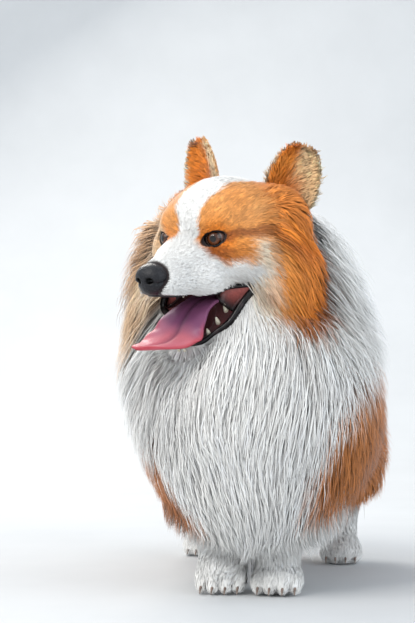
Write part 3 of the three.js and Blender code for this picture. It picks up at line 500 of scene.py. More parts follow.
def surface_net(field, xs, ys, zs, cover=None, reach=0.0):
    shape = (len(xs), len(ys), len(zs))
    values = grid_values(field, xs, ys, zs, cover, reach)
    cells = tuple(n - 1 for n in shape)
    axes = (xs, ys, zs)
    ids, places, quads = [], [], []
    for axis in range(3):
        first = [slice(None)] * 3
        second = [slice(None)] * 3
        first[axis] = slice(0, -1)
        second[axis] = slice(1, None)
        a, b = values[tuple(first)], values[tuple(second)]
        edge = np.argwhere((a < 0) != (b < 0))
        va, vb = a[tuple(edge.T)], b[tuple(edge.T)]
        t = va / (va - vb)
        place = np.stack([axes[k][edge[:, k]] for k in range(3)], axis=1)
        line = axes[axis]
        place[:, axis] += t * (line[edge[:, axis] + 1] - line[edge[:, axis]])
        one, two = (axis + 1) % 3, (axis + 2) % 3
        inner = ((edge[:, one] > 0) & (edge[:, two] > 0)
                 & (edge[:, one] < cells[one]) & (edge[:, two] < cells[two]))
        edge, place, va = edge[inner], place[inner], va[inner]
        around = []
        for du, dv in ((0, 0), (1, 0), (1, 1), (0, 1)):
            cell = edge.copy()
            cell[:, one] -= du
            cell[:, two] -= dv
            around.append(np.ravel_multi_index(tuple(cell.T), cells))
            ids.append(around[-1])
            places.append(place)
        quad = np.stack(around, axis=1)
        quad[va > 0] = quad[va > 0][:, ::-1]
        quads.append(quad[:, ::-1])
    ids = np.concatenate(ids)
    places = np.concatenate(places)
    used, back = np.unique(ids, return_inverse=True)
    count = np.bincount(back)
    points = np.stack([np.bincount(back, places[:, k]) / count for k in range(3)], axis=1)
    faces = np.searchsorted(used, np.concatenate(quads))
    return points, faces


def settle(field, points, rounds=2):
    for _ in range(rounds):
        points = points - slope(field, points) * field(points)[:, None]
    return points


def spaced(stops):
    """Grid lines: stops are (from, to, step) stretches one after another."""
    lines = [np.arange(start, end, step) for start, end, step in stops]
    return np.concatenate(lines + [[stops[-1][1]]])


# Blender objects from arrays
def add_object(name, mesh):
    thing = bpy.data.objects.new(name, mesh)
    bpy.context.scene.collection.objects.link(thing)
    return thing


def mesh_from(name, points, faces, material):
    mesh = bpy.data.meshes.new(name)
    points = (np.asarray(points) + SHIFT) / 1000
    groups = faces if isinstance(faces, list) else [faces]
    groups = [np.asarray(group) for group in groups if len(group)]
    loops = np.concatenate([group.ravel() for group in groups])
    sizes = np.concatenate([np.full(len(group), group.shape[1]) for group in groups])
    starts = np.concatenate([[0], np.cumsum(sizes)[:-1]])
    mesh.vertices.add(len(points))
    mesh.vertices.foreach_set("co", points.astype(np.float32).ravel())
    mesh.loops.add(len(loops))
    mesh.loops.foreach_set("vertex_index", loops.astype(np.int32))
    mesh.polygons.add(len(sizes))
    mesh.polygons.foreach_set("loop_start", starts.astype(np.int32))
    mesh.polygons.foreach_set("loop_total", sizes.astype(np.int32))
    mesh.polygons.foreach_set("use_smooth", np.full(len(sizes), True))
    mesh.update(calc_edges=True)
    mesh.materials.append(material)
    return add_object(name, mesh)


def paint(thing, name, colours):
    layer = thing.data.color_attributes.new(name, "FLOAT_COLOR", "POINT")
    full = np.ones((len(colours), 4), np.float32)
    full[:, :3] = colours
    layer.data.foreach_set("color", full.ravel())


def put_on_dog(thing, slot, *nodes):
    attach(thing, "root")
    if nodes:
        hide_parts(*nodes)


# The lie, length and colour of the coat, region by region
REGIONS = {
    "head": [HEAD], "jaw": [JAW], "neck": [NECK], "torso": [TORSO], "tail": [TAIL],
    "foreleg": FORELEGS, "hindleg": HINDLEGS, "paw": [*FOREPAWS, *HINDPAWS],
}
REGION_SOFTNESS = 7


def region_shares(p):
    """How much each region owns a point, as shares that add up to one."""
    distances = []
    for bodies in REGIONS.values():
        distances.append(np.min([body(p) for body in bodies], axis=0))
    distances = np.array(distances)
    weights = np.exp(-(distances - distances.min(0)) / REGION_SOFTNESS)
    return dict(zip(REGIONS, weights / weights.sum(0)))


def head_lie(p):
    x, y, z = to_head(p).T
    side = np.sign(x) * smooth(0, 12, np.abs(x))
    muzzle = smooth(-6, -26, y)
    brow = smooth(-4, 22, z)
    back = smooth(26, 60, y)
    low = smooth(-8, -44, z)
    forward = stack(side * 0.25, 1.0, 0.25 * brow)
    top = stack(side * 0.4, 0.85, 0.55 + 0 * x)
    cheek = stack(side * 0.35, 0.95, -0.35 - 0.5 * low)
    ruff = stack(side * 0.1, 0.24 + 0.5 * smooth(0, 40, z), -1 + 0.75 * smooth(0, 45, z))
    lie = mix(cheek, top, brow)
    lie = mix(lie, forward, muzzle)
    return turn_head(mix(lie, ruff, back))


def neck_lie(p):
    out = unit(stack(p[:, 0] + 4, p[:, 1] - 34, 0 * p[:, 0]))
    back = 0.95 * smooth(-0.9, 0.9, out[:, 1]) - 0.06
    return stack(out[:, 0] * 0.12 - 0.0008 * p[:, 0], back, -1 + 0.45 * np.maximum(out[:, 1], 0))


def torso_lie(p, out):
    front = smooth(70, -30, p[:, 1])
    drop = np.maximum(front, 1 - np.maximum(out[:, 2], 0))
    return stack(0.1 * np.sign(p[:, 0]) * (1 - front) - 0.0016 * p[:, 0] * front,
                 1 - front, -0.25 - 0.75 * drop)


def hindleg_lie(p):
    return stack(0.08 * np.sign(p[:, 0]), 0.62, -1 + 0.2 * smooth(150, 230, p[:, 2]))


def coat_lie(p, out):
    share = region_shares(p)
    lies = {
        "head": head_lie(p),
        "jaw": turn_head(stack(0.1 * np.sign(to_head(p)[:, 0]), 1.0, -0.55)),
        "neck": neck_lie(p),
        "torso": torso_lie(p, out),
        "tail": stack(0 * p[:, 0], 0.7, -0.8),
        "foreleg": stack(0 * p[:, 0], 0.35, -1.0),
        "hindleg": hindleg_lie(p),
        "paw": stack(0 * p[:, 0], -0.7, -0.6),
    }
    lie = sum(unit(lies[name]) * share[name][:, None] for name in REGIONS)
    drift = 0.3 * wobble(p, 52, 3.0) + 0.12 * wobble(p, 19, 6.0)
    return lie + np.cross(out, lie) * (drift * (1 - 0.6 * share["head"]))[:, None]


def coat_length(p, share):
    h = to_head(p)
    x, y, z = h.T
    face = 4.5 + 6 * smooth(-45, 0, y) + 10 * smooth(5, 40, y)
    ruff = smooth(24, 56, y) * smooth(40, 56, np.abs(x))
    head = face + (54 - face) * ruff * smooth(46 - 0.25 * x, 26 - 0.25 * x, z)
    lengths = {
        "head": head,
        "jaw": 8 + 24 * smooth(-10, 30, y),
        "neck": 92 + 0 * x,
        "torso": 62 + 26 * smooth(60, -20, p[:, 1]),
        "tail": 40 + 0 * x,
        "foreleg": 16 + 16 * smooth(70, 120, p[:, 2]),
        "hindleg": 30 + 46 * smooth(80, 130, p[:, 2]),
        "paw": 6 + 0 * x,
    }
    return sum(lengths[name] * share[name] for name in REGIONS)


def coat_lift(p, out, share):
    """How far above the core the tips stand."""
    x, y, z = to_head(p).T
    side = np.abs(out[:, 0])
    ruff = smooth(24, 56, y) * smooth(44, 60, np.abs(x)) * smooth(50 - 0.25 * x, 30 - 0.25 * x, z)
    front = smooth(60, -20, p[:, 1])
    far_front = smooth(-40, -80, p[:, 0]) * smooth(110, 40, p[:, 1]) * smooth(260, 200, p[:, 2])
    crown = smooth(385, 440, p[:, 2]) * smooth(-110, -40, p[:, 0]) * smooth(60, 15, p[:, 0])
    wide = smooth(0.2, 0.8, side) * smooth(262, 335, p[:, 2])
    nape = smooth(56, 118, p[:, 1]) * smooth(0.9, 0.5, side)
    far_cheek = 30 * smooth(-30, -60, x) * smooth(30, 8, z)
    below = 1 - smooth(0.1, 0.95, out[:, 2])
    lifts = {
        "head": 1 + 3 * smooth(10, 40, y) + ruff * (12 + 8 * smooth(40, -20, z) + far_cheek),
        "jaw": 2 + 9 * smooth(-10, 30, y),
        "neck": (32 + 10 * smooth(0.2, 0.8, side) + 13 * wide) * (1 - 0.5 * crown) * (1 - 0.6 * nape),
        "torso": 6 * smooth(60, 100, p[:, 0]) - 9 * far_front + 10 + 28 * below * (1 - 0.1 * front),
        "tail": 11 + 0 * x,
        "foreleg": 1.5 + 9 * smooth(70, 120, p[:, 2]),
        "hindleg": 4 + 26 * smooth(80, 150, p[:, 2]),
        "paw": 0.5 + 0 * x,
    }
    return sum(lifts[name] * share[name] for name in REGIONS)


# The white blaze down the forehead: middle and half width between the eyes and on the crown
BLAZE_LOW = (7.5, 7.5)
BLAZE_HIGH = (3.5, 15.5)


def head_colour(p):
    h = to_head(p) + 2.5 * stir(p, 8)
    x, y, z = h.T
    wide = np.abs(x)
    climb = smooth(14, 36, z)
    middle = BLAZE_LOW[0] + (BLAZE_HIGH[0] - BLAZE_LOW[0]) * climb
    half = BLAZE_LOW[1] + (BLAZE_HIGH[1] - BLAZE_LOW[1]) * climb
    beside = smooth(half, half + 5, np.abs(x - middle * smooth(-20, 10, z)))
    floor = -22 - 0.5 * np.clip(y - 6, 0, 60)
    above = smooth(floor - 4, floor + 5, z) * smooth(-30, -16, y + 0.5 * (z + 4))
    burn = smooth(23, 35, y + 9 * smooth(-20, -60, z)) * smooth(-104, -92, z) * smooth(34, 46, wide)
    red = np.maximum(beside * above, burn)
    from_eye = np.linalg.norm(stack(wide - 31, y + 4, z + 3), axis=-1)
    streak = smooth(7, 2, np.abs(z - 0.16 * (wide - 36))) * smooth(40, 46, wide) * smooth(74, 58, wide)
    under = smooth(8, 3, np.abs(z + 15 - 0.002 * (wide - 40) ** 2))
    under = under * smooth(20, 30, wide) * smooth(66, 50, wide)
    cheek = smooth(8, 22, y) * smooth(38, 26, y) * smooth(4, -10, z)
    forehead = smooth(4, 24, z)
    lively = 0.5 + 0.5 * wobble(p, 14, 5.0)
    colour = mix(ORANGE, PEACH, 0.2 * forehead + 0.3 * lively)
    colour = mix(colour, VIVID, 0.75 * smooth(34, 60, y) * smooth(60, 20, z))
    colour = mix(colour, VIVID, 0.8 * smooth(26, 12, from_eye) * (1 - forehead))
    colour = mix(colour, 0.6 * RUST, 0.75 * np.maximum(streak, 0.85 * under))
    colour = mix(colour, 0.65 * CREAM + 0.35 * WHITE, 0.9 * cheek * (1 - 0.8 * under))
    colour = mix(colour, WHITE, 0.9 * smooth(84, 104, y) * smooth(40, 10, z))
    colour = mix(colour, RUST, 0.4 * smooth(0.3, 0.9, wobble(p, 7, 8.0)) * burn)
    # The dog's right side of the face, apart from its orange spot, is painted paler cream and peach: painted
    # sunlight on that side
    far = smooth(-16, -34, x) * smooth(34, 12, z)
    spot = smooth(15, 8, np.linalg.norm(h - [-21, -12, 22], axis=-1))
    pale = mix(CREAM, PEACH, 0.25 + 0.5 * smooth(20, 50, y))
    colour = mix(colour, pale, 0.75 * far * (1 - spot))
    return mix(WHITE, colour, red)


def coat_colour(p, share):
    q = p + 9 * stir(p, 24)
    near_edge = 66 + 0.22 * (q[:, 2] - 185)
    far_edge = 50 + 0.5 * (q[:, 2] - 130)
    flank = smooth(-6, 8, q[:, 0] - near_edge) * smooth(-60, -30, q[:, 1])
    flank *= smooth(142, 172, q[:, 2])
    flank = np.maximum(flank, smooth(-6, 8, -q[:, 0] - far_edge) * smooth(-60, -34, q[:, 1]))
    rump = smooth(64, 92, q[:, 1] + 0.15 * (q[:, 2] - 200))
    body_red = np.maximum(rump, flank) * smooth(104, 130, q[:, 2])
    leg_edge = 92 - 0.25 * (np.abs(q[:, 0]) - 80)
    leg_red = smooth(leg_edge - 7, leg_edge + 5, q[:, 2])
    # Painted light: the upper neck on the dog's right is tinted peach, as if the sun shone through the fur
    # there
    neck_far_painted_light = smooth(-52, -86, q[:, 0]) * smooth(296, 330, q[:, 2]) * smooth(70, 10, q[:, 1])
    ruddy = mix(BROWN, ORANGE, 0.35 + 0.3 * wobble(p, 30, 4.0))
    colours = {
        "head": head_colour(p),
        "jaw": WHITE + 0 * p,
        "neck": mix(mix(WHITE, PEACH, 0.8 * neck_far_painted_light), ruddy, flank * smooth(345, 315, q[:, 2])),
        "torso": mix(WHITE, ruddy, body_red),
        "tail": ruddy,
        "foreleg": WHITE + 0 * p,
        "hindleg": mix(WHITE, ruddy, leg_red),
        "paw": WHITE + 0 * p,
    }
    sharp = {name: share[name] ** 3 for name in REGIONS}
    total = sum(sharp.values())
    return sum(colours[name] * (sharp[name] / total)[:, None] for name in REGIONS)


# Materials
def new_material(name):
    material = bpy.data.materials.new(name)
    material.use_nodes = True
    tree = material.node_tree
    shader = next(node for node in tree.nodes if node.type == "BSDF_PRINCIPLED")
    return material, tree, shader


def noise_node(tree, scale):
    place = tree.nodes.new("ShaderNodeTexCoord")
    noise = tree.nodes.new("ShaderNodeTexNoise")
    noise.inputs["Scale"].default_value = scale
    noise.inputs["Detail"].default_value = 4.0
    noise.inputs["Roughness"].default_value = 0.6
    tree.links.new(place.outputs["Object"], noise.inputs["Vector"])
    return noise


def ramp_node(tree, source, stops):
    ramp = tree.nodes.new("ShaderNodeValToRGB")
    elements = ramp.color_ramp.elements
    while len(elements) < len(stops):
        elements.new(0.5)
    for element, (at, colour) in zip(elements, stops):
        element.position = at
        element.color = (*colour, 1)
    tree.links.new(source, ramp.inputs["Fac"])
    return ramp


def link_tint(tree, shader, shade):
    """The painted colour times a shade, as the shader's base colour."""
    tint = tree.nodes.new("ShaderNodeVertexColor")
    tint.layer_name = "Tint"
    node = tree.nodes.new("ShaderNodeMix")
    node.data_type = "RGBA"
    node.blend_type = "MULTIPLY"
    node.inputs["Factor"].default_value = 1.0
    tree.links.new(tint.outputs["Color"], node.inputs["A"])
    tree.links.new(shade.outputs["Color"], node.inputs["B"])
    tree.links.new(node.outputs["Result"], shader.inputs["Base Color"])


def link_roughness(tree, shader, noise, low, high):
    rough = tree.nodes.new("ShaderNodeMapRange")
    rough.inputs["To Min"].default_value = low
    rough.inputs["To Max"].default_value = high
    tree.links.new(noise.outputs["Fac"], rough.inputs["Value"])
    tree.links.new(rough.outputs["Result"], shader.inputs["Roughness"])


def link_bump(tree, shader, source, strength, distance, sunken=False):
    bump = tree.nodes.new("ShaderNodeBump")
    bump.invert = sunken
    bump.inputs["Strength"].default_value = strength
    bump.inputs["Distance"].default_value = distance
    tree.links.new(source, bump.inputs["Height"])
    tree.links.new(bump.outputs["Normal"], shader.inputs["Normal"])


def painted_material(name, roughness, grain, shade, bump=0.0, sheen=0.0, specular=0.3, clear=None):
    """Painted colour, broken up by a fine noise in value and roughness."""
    material, tree, shader = new_material(name)
    noise = noise_node(tree, grain)
    stops = [(0.3, (shade,) * 3), (0.7, (1.0, 1.0, 1.0))]
    link_tint(tree, shader, ramp_node(tree, noise.outputs["Fac"], stops))
    link_roughness(tree, shader, noise, roughness - ROUGHNESS_SWING, roughness + ROUGHNESS_SWING)
    shader.inputs["Specular IOR Level"].default_value = specular
    shader.inputs["Sheen Weight"].default_value = sheen
    shader.inputs["Sheen Roughness"].default_value = 0.5
    if bump:
        link_bump(tree, shader, noise.outputs["Fac"], bump, 0.001)
    if clear:
        shader.inputs["Coat Weight"].default_value = clear[0]
        shader.inputs["Coat Roughness"].default_value = clear[1]
    return material


def tongue_material():
    """Wet flesh that a little light passes through."""
    material = painted_material("tongue", 0.46, 1100, 0.85, bump=0.4, specular=0.28, clear=(0.2, 0.25))
    shader = next(node for node in material.node_tree.nodes if node.type == "BSDF_PRINCIPLED")
    shader.inputs["Subsurface Weight"].default_value = 0.2
    shader.inputs["Subsurface Radius"].default_value = (1.0, 0.85, 0.7)
    shader.inputs["Subsurface Scale"].default_value = 0.003
    return material


def leather_material():
    """Moist pebbled leather: small raised cells between fine lines darkened with painted shade."""
    material, tree, shader = new_material("nose_leather")
    place = tree.nodes.new("ShaderNodeTexCoord")
    cells = tree.nodes.new("ShaderNodeTexVoronoi")
    cells.inputs["Scale"].default_value = 620
    tree.links.new(place.outputs["Object"], cells.inputs["Vector"])
    # Darker towards the edges of the cells: painted shade in the grooves between them
    stops = [(0.15, (1.0, 1.0, 1.0)), (0.7, (0.45, 0.45, 0.48))]
    link_tint(tree, shader, ramp_node(tree, cells.outputs["Distance"], stops))
    link_roughness(tree, shader, noise_node(tree, 240), 0.3, 0.5)
    link_bump(tree, shader, cells.outputs["Distance"], 0.5, 0.0006, sunken=True)
    shader.inputs["Specular IOR Level"].default_value = 0.3
    return material


def graded_material(name, dark, light, scale, roughness):
    """One hue between two shades, broken up by noise."""
    material, tree, shader = new_material(name)
    noise = noise_node(tree, scale)
    ramp = ramp_node(tree, noise.outputs["Fac"], [(0.3, tuple(dark)), (0.7, tuple(light))])
    tree.links.new(ramp.outputs["Color"], shader.inputs["Base Color"])
    link_roughness(tree, shader, noise, roughness - ROUGHNESS_SWING, roughness + ROUGHNESS_SWING)
    link_bump(tree, shader, noise.outputs["Fac"], 0.2, 0.0005)
    return material


FUR = painted_material("fur", 0.62, 900, 0.82, sheen=0.25, specular=0.25)
SKIN = painted_material("skin_and_short_fur", 0.7, 700, 0.72, bump=0.5, sheen=0.2, specular=0.2)
WET = painted_material("wet_flesh", 0.36, 420, 0.7, bump=0.3, clear=(0.2, 0.15))
RIM = painted_material("eyelid_rim", 0.45, 600, 0.8, bump=0.2, specular=0.2)
TONGUE = tongue_material()
EYE = painted_material("eye", 0.14, 300, 0.9, specular=0.12, clear=(0.8, 0.02))
LEATHER = leather_material()
TEETH = graded_material("teeth", linear(200, 188, 160), linear(236, 230, 212), 300, 0.28)
HORN = graded_material("claws", linear(92, 76, 68), linear(150, 130, 118), 260, 0.4)


class Cover:
    """The core's field on a grid, for quick heights and slopes along the coat."""

    def __init__(self, step):
        self.low = np.array([-190.0, -190.0, -20.0])
        high = np.array([190.0, 520.0, 500.0])
        self.step = step
        lines = [np.arange(lo, hi + step, step) for lo, hi in zip(self.low, high)]
        self.shape = tuple(len(line) for line in lines)
        values = np.minimum(grid_values(core_field, *lines), 160)
        grads = np.gradient(values, step)
        self.table = np.stack([values, *grads], axis=-1)

    def layer(self, x, ys, zs):
        """Heights on one plane of a finer grid."""
        table = self.table[..., 0]
        for place, values in ((0, [x]), (1, ys), (2, zs)):
            at = np.clip((np.asarray(values) - self.low[place]) / self.step, 0, self.shape[place] - 1.001)
            i = at.astype(int)
            shape = [1, 1, 1]
            shape[place] = len(i)
            f = (at - i).reshape(shape)
            table = np.take(table, i, place) * (1 - f) + np.take(table, i + 1, place) * f
        return table[0]

    def sample(self, p):
        q = (p - self.low) / self.step
        q = np.clip(q, 0, np.array(self.shape) - 1.001)
        i = q.astype(int)
        f = q - i
        total = np.zeros((len(p), 4))
        for dx in (0, 1):
            for dy in (0, 1):
                for dz in (0, 1):
                    weight = (np.where(dx, f[:, 0], 1 - f[:, 0]) * np.where(dy, f[:, 1], 1 - f[:, 1])
                              * np.where(dz, f[:, 2], 1 - f[:, 2]))
                    total += weight[:, None] * self.table[i[:, 0] + dx, i[:, 1] + dy, i[:, 2] + dz]
        return total[:, 0], unit(total[:, 1:])


COVER = Cover(5)


# The skin: one surface from nose to tail, finer round the head
def make_skin():
    coarse, fine = ((4, 1.4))
    xs = spaced([(-170, -150, coarse), (-150, 62, fine), (62, 170, coarse)])
    ys = spaced([(-160, 62, fine), (62, 470, coarse)])
    zs = spaced([(-4, 245, coarse * 0.8), (245, 452, fine)])
    points, faces = surface_net(skin_field, xs, ys, zs, COVER, LONG_DEPTH + 14)
    points = settle(skin_field, points)
    points[:, 2] = np.maximum(points[:, 2], 0.3)
    return points, faces


def skin_colour(points):
    share = region_shares(points)
    colour = coat_colour(points, share)
    h = to_head(points)
    mouth = mouth_field(points)
    inside = smooth(2.2, 0.6, mouth) * in_box(points, MOUTH_BOX, 0)
    back = smooth(-30, 34, h[:, 1])
    flesh = mix(MOUTH_DARK, MOUTH_PINK, 0.06 + 0.25 * back + 0.1 * wobble(points, 6, 7.0))
    colour = mix(colour, flesh, inside)
    gap = eye_gap(points)
    colour = mix(colour, DARK_SKIN, smooth(2.6, 1.2, gap))
    nose_gap = NOSE(points)
    colour = mix(colour, DARK_SKIN, smooth(5, 1.5, nose_gap))
    return colour


# Tufts of the coat
def spread_roots(points, faces, normals, density, rng):
    """Random roots on a mesh of quads: density gives roots for each square millimetre."""
    tris = np.concatenate([faces[:, [0, 1, 2]], faces[:, [0, 2, 3]]])
    a, b, c = points[tris[:, 0]], points[tris[:, 1]], points[tris[:, 2]]
    area = np.linalg.norm(np.cross(b - a, c - a), axis=1) / 2
    middle = (a + b + c) / 3
    wanted = area * density(middle)
    count = np.floor(wanted + rng.random(len(wanted))).astype(int)
    pick = np.repeat(np.arange(len(tris)), count)
    u, v = rng.random(len(pick)), rng.random(len(pick))
    flip = u + v > 1
    u[flip], v[flip] = 1 - u[flip], 1 - v[flip]
    w = 1 - u - v
    shares = np.stack([w, u, v], axis=1)[..., None]
    corner = tris[pick]
    root = (points[corner] * shares).sum(1)
    normal = unit((normals[corner] * shares).sum(1))
    return root, normal


def lay_paths(root, normal, length, lift, steps, scatter, lowest, wave, rng):
    """Follows the lie of the coat from each root to its tip."""
    count = len(root)
    turn = (rng.random(count) - 0.5) * scatter * 2
    base, _ = COVER.sample(root)
    start = root - normal * ROOT_DEPTH
    start[:, 2] = np.maximum(start[:, 2], lowest * 0.5)
    path = [start]
    p = root.copy()
    done = 0.0
    phase = rng.random(count) * 2 * np.pi
    for step in steps:
        _, out = COVER.sample(p)
        guide = coat_lie(p, out)
        along = unit(guide - out * dot(guide, out))
        swing = (turn + wave * np.sin(phase + 5 * step))[:, None]
        way = along * np.cos(swing) + np.cross(out, along) * np.sin(swing)
        p = p + way * (length * (step - done))[:, None]
        height = base + (lift - base) * (1 - (1 - step) ** 1.7)
        for _ in range(2):
            level, out = COVER.sample(p)
            p = p + out * (height - level)[:, None]
        p[:, 2] = np.maximum(p[:, 2], lowest)
        path.append(p.copy())
        done = step
    return np.stack(path, axis=1)


def clump(paths, every, strength, rng):
    """Draws the tips of neighbouring tufts together into locks."""
    count, points = paths.shape[:2]
    leaders = rng.permutation(count)[:max(count // every, 1)]
    tree = kdtree.KDTree(len(leaders))
    for i, leader in enumerate(leaders):
        tree.insert(paths[leader, 1], i)
    tree.balance()
    nearest = np.array([tree.find(p)[1] for p in paths[:, 1]])
    mark = rng.random(len(leaders))
    pull = (strength * rng.random(count))[:, None]
    t = np.linspace(0, 1, points)[None, :] ** 1.4
    share = (pull * t)[..., None]
    return paths + (paths[leaders[nearest]] - paths) * share, mark[nearest]


def tuft_mesh(paths, out, width, thick):
    """Closed three-sided tapering tufts along the paths: points and faces."""
    count, points = paths.shape[:2]
    rings = points - 1
    profile = TUFT_PROFILE if rings > 2 else SHORT_PROFILE
    verts = np.empty((count, rings * 3 + 1, 3))
    for i in range(rings):
        ahead = unit(paths[:, i + 1] - paths[:, max(i - 1, 0)])
        side = unit(np.cross(ahead, out))
        top = np.cross(side, ahead)
        half = (width * profile[i])[:, None]
        high = (thick * profile[i])[:, None]
        verts[:, i * 3] = paths[:, i] + side * half - top * high * 0.4
        verts[:, i * 3 + 1] = paths[:, i] + top * high * 0.7
        verts[:, i * 3 + 2] = paths[:, i] - side * half - top * high * 0.4
    verts[:, -1] = paths[:, -1]
    base = (np.arange(count) * (rings * 3 + 1))[:, None]
    quads = []
    for i in range(rings - 1):
        for j in range(3):
            k = (j + 1) % 3
            quads.append(base + [i * 3 + j, i * 3 + 3 + j, i * 3 + 3 + k, i * 3 + k])
    tris = [base + [0, 1, 2]]
    last = (rings - 1) * 3
    for j in range(3):
        tris.append(base + [last + (j + 1) % 3, last + j, rings * 3])
    return verts.reshape(-1, 3), [np.concatenate(quads), np.concatenate(tris)]


def patch_map(thing, root, normal, rings):
    """A small patch for each tuft at its root's place on a six-sided unwrap of the skin."""
    axis = np.abs(normal).argmax(1)
    facing = np.take_along_axis(normal, axis[:, None], 1)[:, 0] > 0
    chart = axis * 2 + facing
    flat = np.stack([root[np.arange(len(root)), (axis + 1) % 3],
                     root[np.arange(len(root)), (axis + 2) % 3]], axis=1)
    place = np.zeros((len(root), 2))
    for c in range(6):
        own = chart == c
        if own.any():
            low, high = flat[own].min(0), flat[own].max(0)
            place[own] = (flat[own] - low) / np.maximum(high - low, 1e-6).max()
    column, row = chart % 3, chart // 3
    place = place * [0.32, 0.48] + np.stack([column / 3, row / 2], axis=1)
    corner = [[across, i / rings] for i in range(rings) for across in (0, 0.5, 1)] + [[0.5, 1]]
    uv = (place[:, None, :] + np.array(corner)[None] * PATCH).reshape(-1, 2)
    layer = thing.data.uv_layers.new(name="OFBake")
    loops = np.empty(len(thing.data.loops), np.int32)
    thing.data.loops.foreach_get("vertex_index", loops)
    layer.data.foreach_set("uv", uv[loops].astype(np.float32).ravel())


def make_tufts(name, slot, root, normal, paths, width, thick, colour, lock, rng):
    """One piece of coat: lock is a mark from 0 to 1 that the tufts of a lock share."""
    count, points = paths.shape[:2]
    rings = points - 1
    verts, faces = tuft_mesh(paths, normal, width, thick)
    thing = mesh_from(name, verts, faces, FUR)
    value = 1 + 0.16 * (rng.random(count) - 0.5) + 0.05 * wobble(root, 16, 9.0)
    redness = smooth(0.05, 0.4, colour[:, 0] - colour[:, 2])
    value = value * (1 + (0.08 + 0.42 * redness) * (lock - 0.6))
    # Painted shade towards each tuft's root and painted light at its tip
    along = np.concatenate([np.repeat(np.arange(rings) / rings, 3), [1.0]])
    shade = ROOT_PAINTED_SHADE + (TIP_PAINTED_LIGHT - ROOT_PAINTED_SHADE) * smooth(0, 0.75, along)
    tint = colour[:, None, :] * (value[:, None] * shade[None, :])[..., None]
    paint(thing, "Tint", np.clip(tint.reshape(-1, 3), 0, 0.95))
    own = mesh_normals(verts, faces)
    under = np.repeat(normal, rings * 3 + 1, axis=0)
    soft = unit(own * 0.3 + under * 0.7)
    thing.data.normals_split_custom_set_from_vertices(soft)
    patch_map(thing, root, normal, rings)
    put_on_dog(thing, slot)


# Meshes from rows of points
def grid_faces(rows, columns, closed=False):
    """Quads of a grid of points stored row by row, with its columns closed on themselves or not."""
    i = np.arange(rows - 1)[:, None] * columns
    j = np.arange(columns if closed else columns - 1)[None, :]
    k = (j + 1) % columns
    quads = np.stack([i + j, i + k, i + columns + k, i + columns + j], axis=-1)
    return quads.reshape(-1, 4)


def closed_tube(sections):
    """Points and faces of rings of equal count, with a cap of triangles at each end."""
    rows, count = sections.shape[:2]
    points = np.concatenate([sections.reshape(-1, 3), sections[:1].mean(1), sections[-1:].mean(1)])
    first, last = rows * count, rows * count + 1
    ring = np.arange(count)
    after = (ring + 1) % count
    start = np.stack([np.full(count, first), after, ring], axis=1)
    end = np.stack([np.full(count, last), (rows - 1) * count + ring, (rows - 1) * count + after], axis=1)
    return points, [grid_faces(rows, count, closed=True), np.concatenate([start, end])]


def join_meshes(parts):
    """Puts several (points, faces) pairs into one."""
    points, quads, tris = [], [], []
    start = 0
    for own_points, faces in parts:
        points.append(own_points)
        for group in faces if isinstance(faces, list) else [faces]:
            (quads if group.shape[1] == 4 else tris).append(group + start)
        start += len(own_points)
    groups = [np.concatenate(group) for group in (quads, tris) if group]
    return np.concatenate(points), groups


def smooth_line(points, count):
    """A smooth curve through the points, by cubic pieces, at even steps of its number."""
    points = np.asarray(points, float)
    padded = np.concatenate([[2 * points[0] - points[1]], points, [2 * points[-1] - points[-2]]])
    at = np.linspace(0, len(points) - 1, count)
    i = np.minimum(at.astype(int), len(points) - 2)
    t = (at - i)[:, None]
    a, b, c, d = padded[i], padded[i + 1], padded[i + 2], padded[i + 3]
    return 0.5 * (2 * b + (c - a) * t + (2 * a - 5 * b + 4 * c - d) * t ** 2
                  + (3 * b - a - 3 * c + d) * t ** 3)


def round_tube(line, radii, up=(0, 0, 1), sides=10, flat=1.0):
    """A closed tube along a line of points, with a radius at each."""
    ahead = unit(np.gradient(line, axis=0))
    side = unit(np.cross(ahead, np.asarray(up, float)))
    top = np.cross(side, ahead)
    angle = np.linspace(0, 2 * np.pi, sides, endpoint=False)
    reach = np.asarray(radii)[:, None, None]
    sections = line[:, None] + reach * (side[:, None] * np.cos(angle)[None, :, None] * flat
                                        + top[:, None] * np.sin(angle)[None, :, None])
    return closed_tube(sections)


def mesh_normals(points, faces):
    """Normals at the points, from the faces round each."""
    total = np.zeros_like(points)
    for group in faces if isinstance(faces, list) else [faces]:
        corners = points[group]
        if group.shape[1] == 4:
            normal = np.cross(corners[:, 2] - corners[:, 0], corners[:, 3] - corners[:, 1])
        else:
            normal = np.cross(corners[:, 1] - corners[:, 0], corners[:, 2] - corners[:, 0])
        for k in range(group.shape[1]):
            for axis in range(3):
                total[:, axis] += np.bincount(group[:, k], normal[:, axis], len(points))
    return unit(total)


def bare_skin(p):
    return core_field(p) + skin_depth(p)


def reach_skin(start, way, reach=70.0, rounds=60):
    """Walks from outside along a direction until the skin is met."""
    p = start + way * reach
    for _ in range(rounds):
        p = p - way * np.clip(bare_skin(p), -6, 6)[:, None] * 0.8
    return p


def turned_out(points, faces):
    """The faces of a closed mesh, turned over if they look inwards."""
    middle = points.mean(0)
    volume = 0.0
    for group in faces:
        a, b, c = (points[group[:, k]] - middle for k in range(3))
        volume += np.einsum("ij,ij->i", a, np.cross(b, c)).sum()
    return faces if volume > 0 else [group[:, ::-1] for group in faces]


# Eyes and lids
EYE_HALF_WIDTH = 11.8
EYE_HALF_HEIGHT = 7.2
EYE_TILT = 0.12
LID_GROWTH = (-0.5, 0.0, 1.0, 2.2, 3.6, 5.4, 7.6, 10.2, 13.0)
LID_RISE = (-0.6, 0.7, 1.5, 1.8, 1.8, 1.8, 1.6, 1.4, 1.0)
LID_STEPS = 44
RIM_ROWS = 4


def eye_axes(side):
    axis = unit(np.array([side * math.sin(EYE_SPLAY), -math.cos(EYE_SPLAY), 0.02]))
    outward = -side * unit(np.cross(axis, [0, 0, 1.0]))
    upward = side * np.cross(axis, outward)
    upward = upward * np.sign(upward[2])
    return [turn_head(v) for v in (axis, outward, upward)]


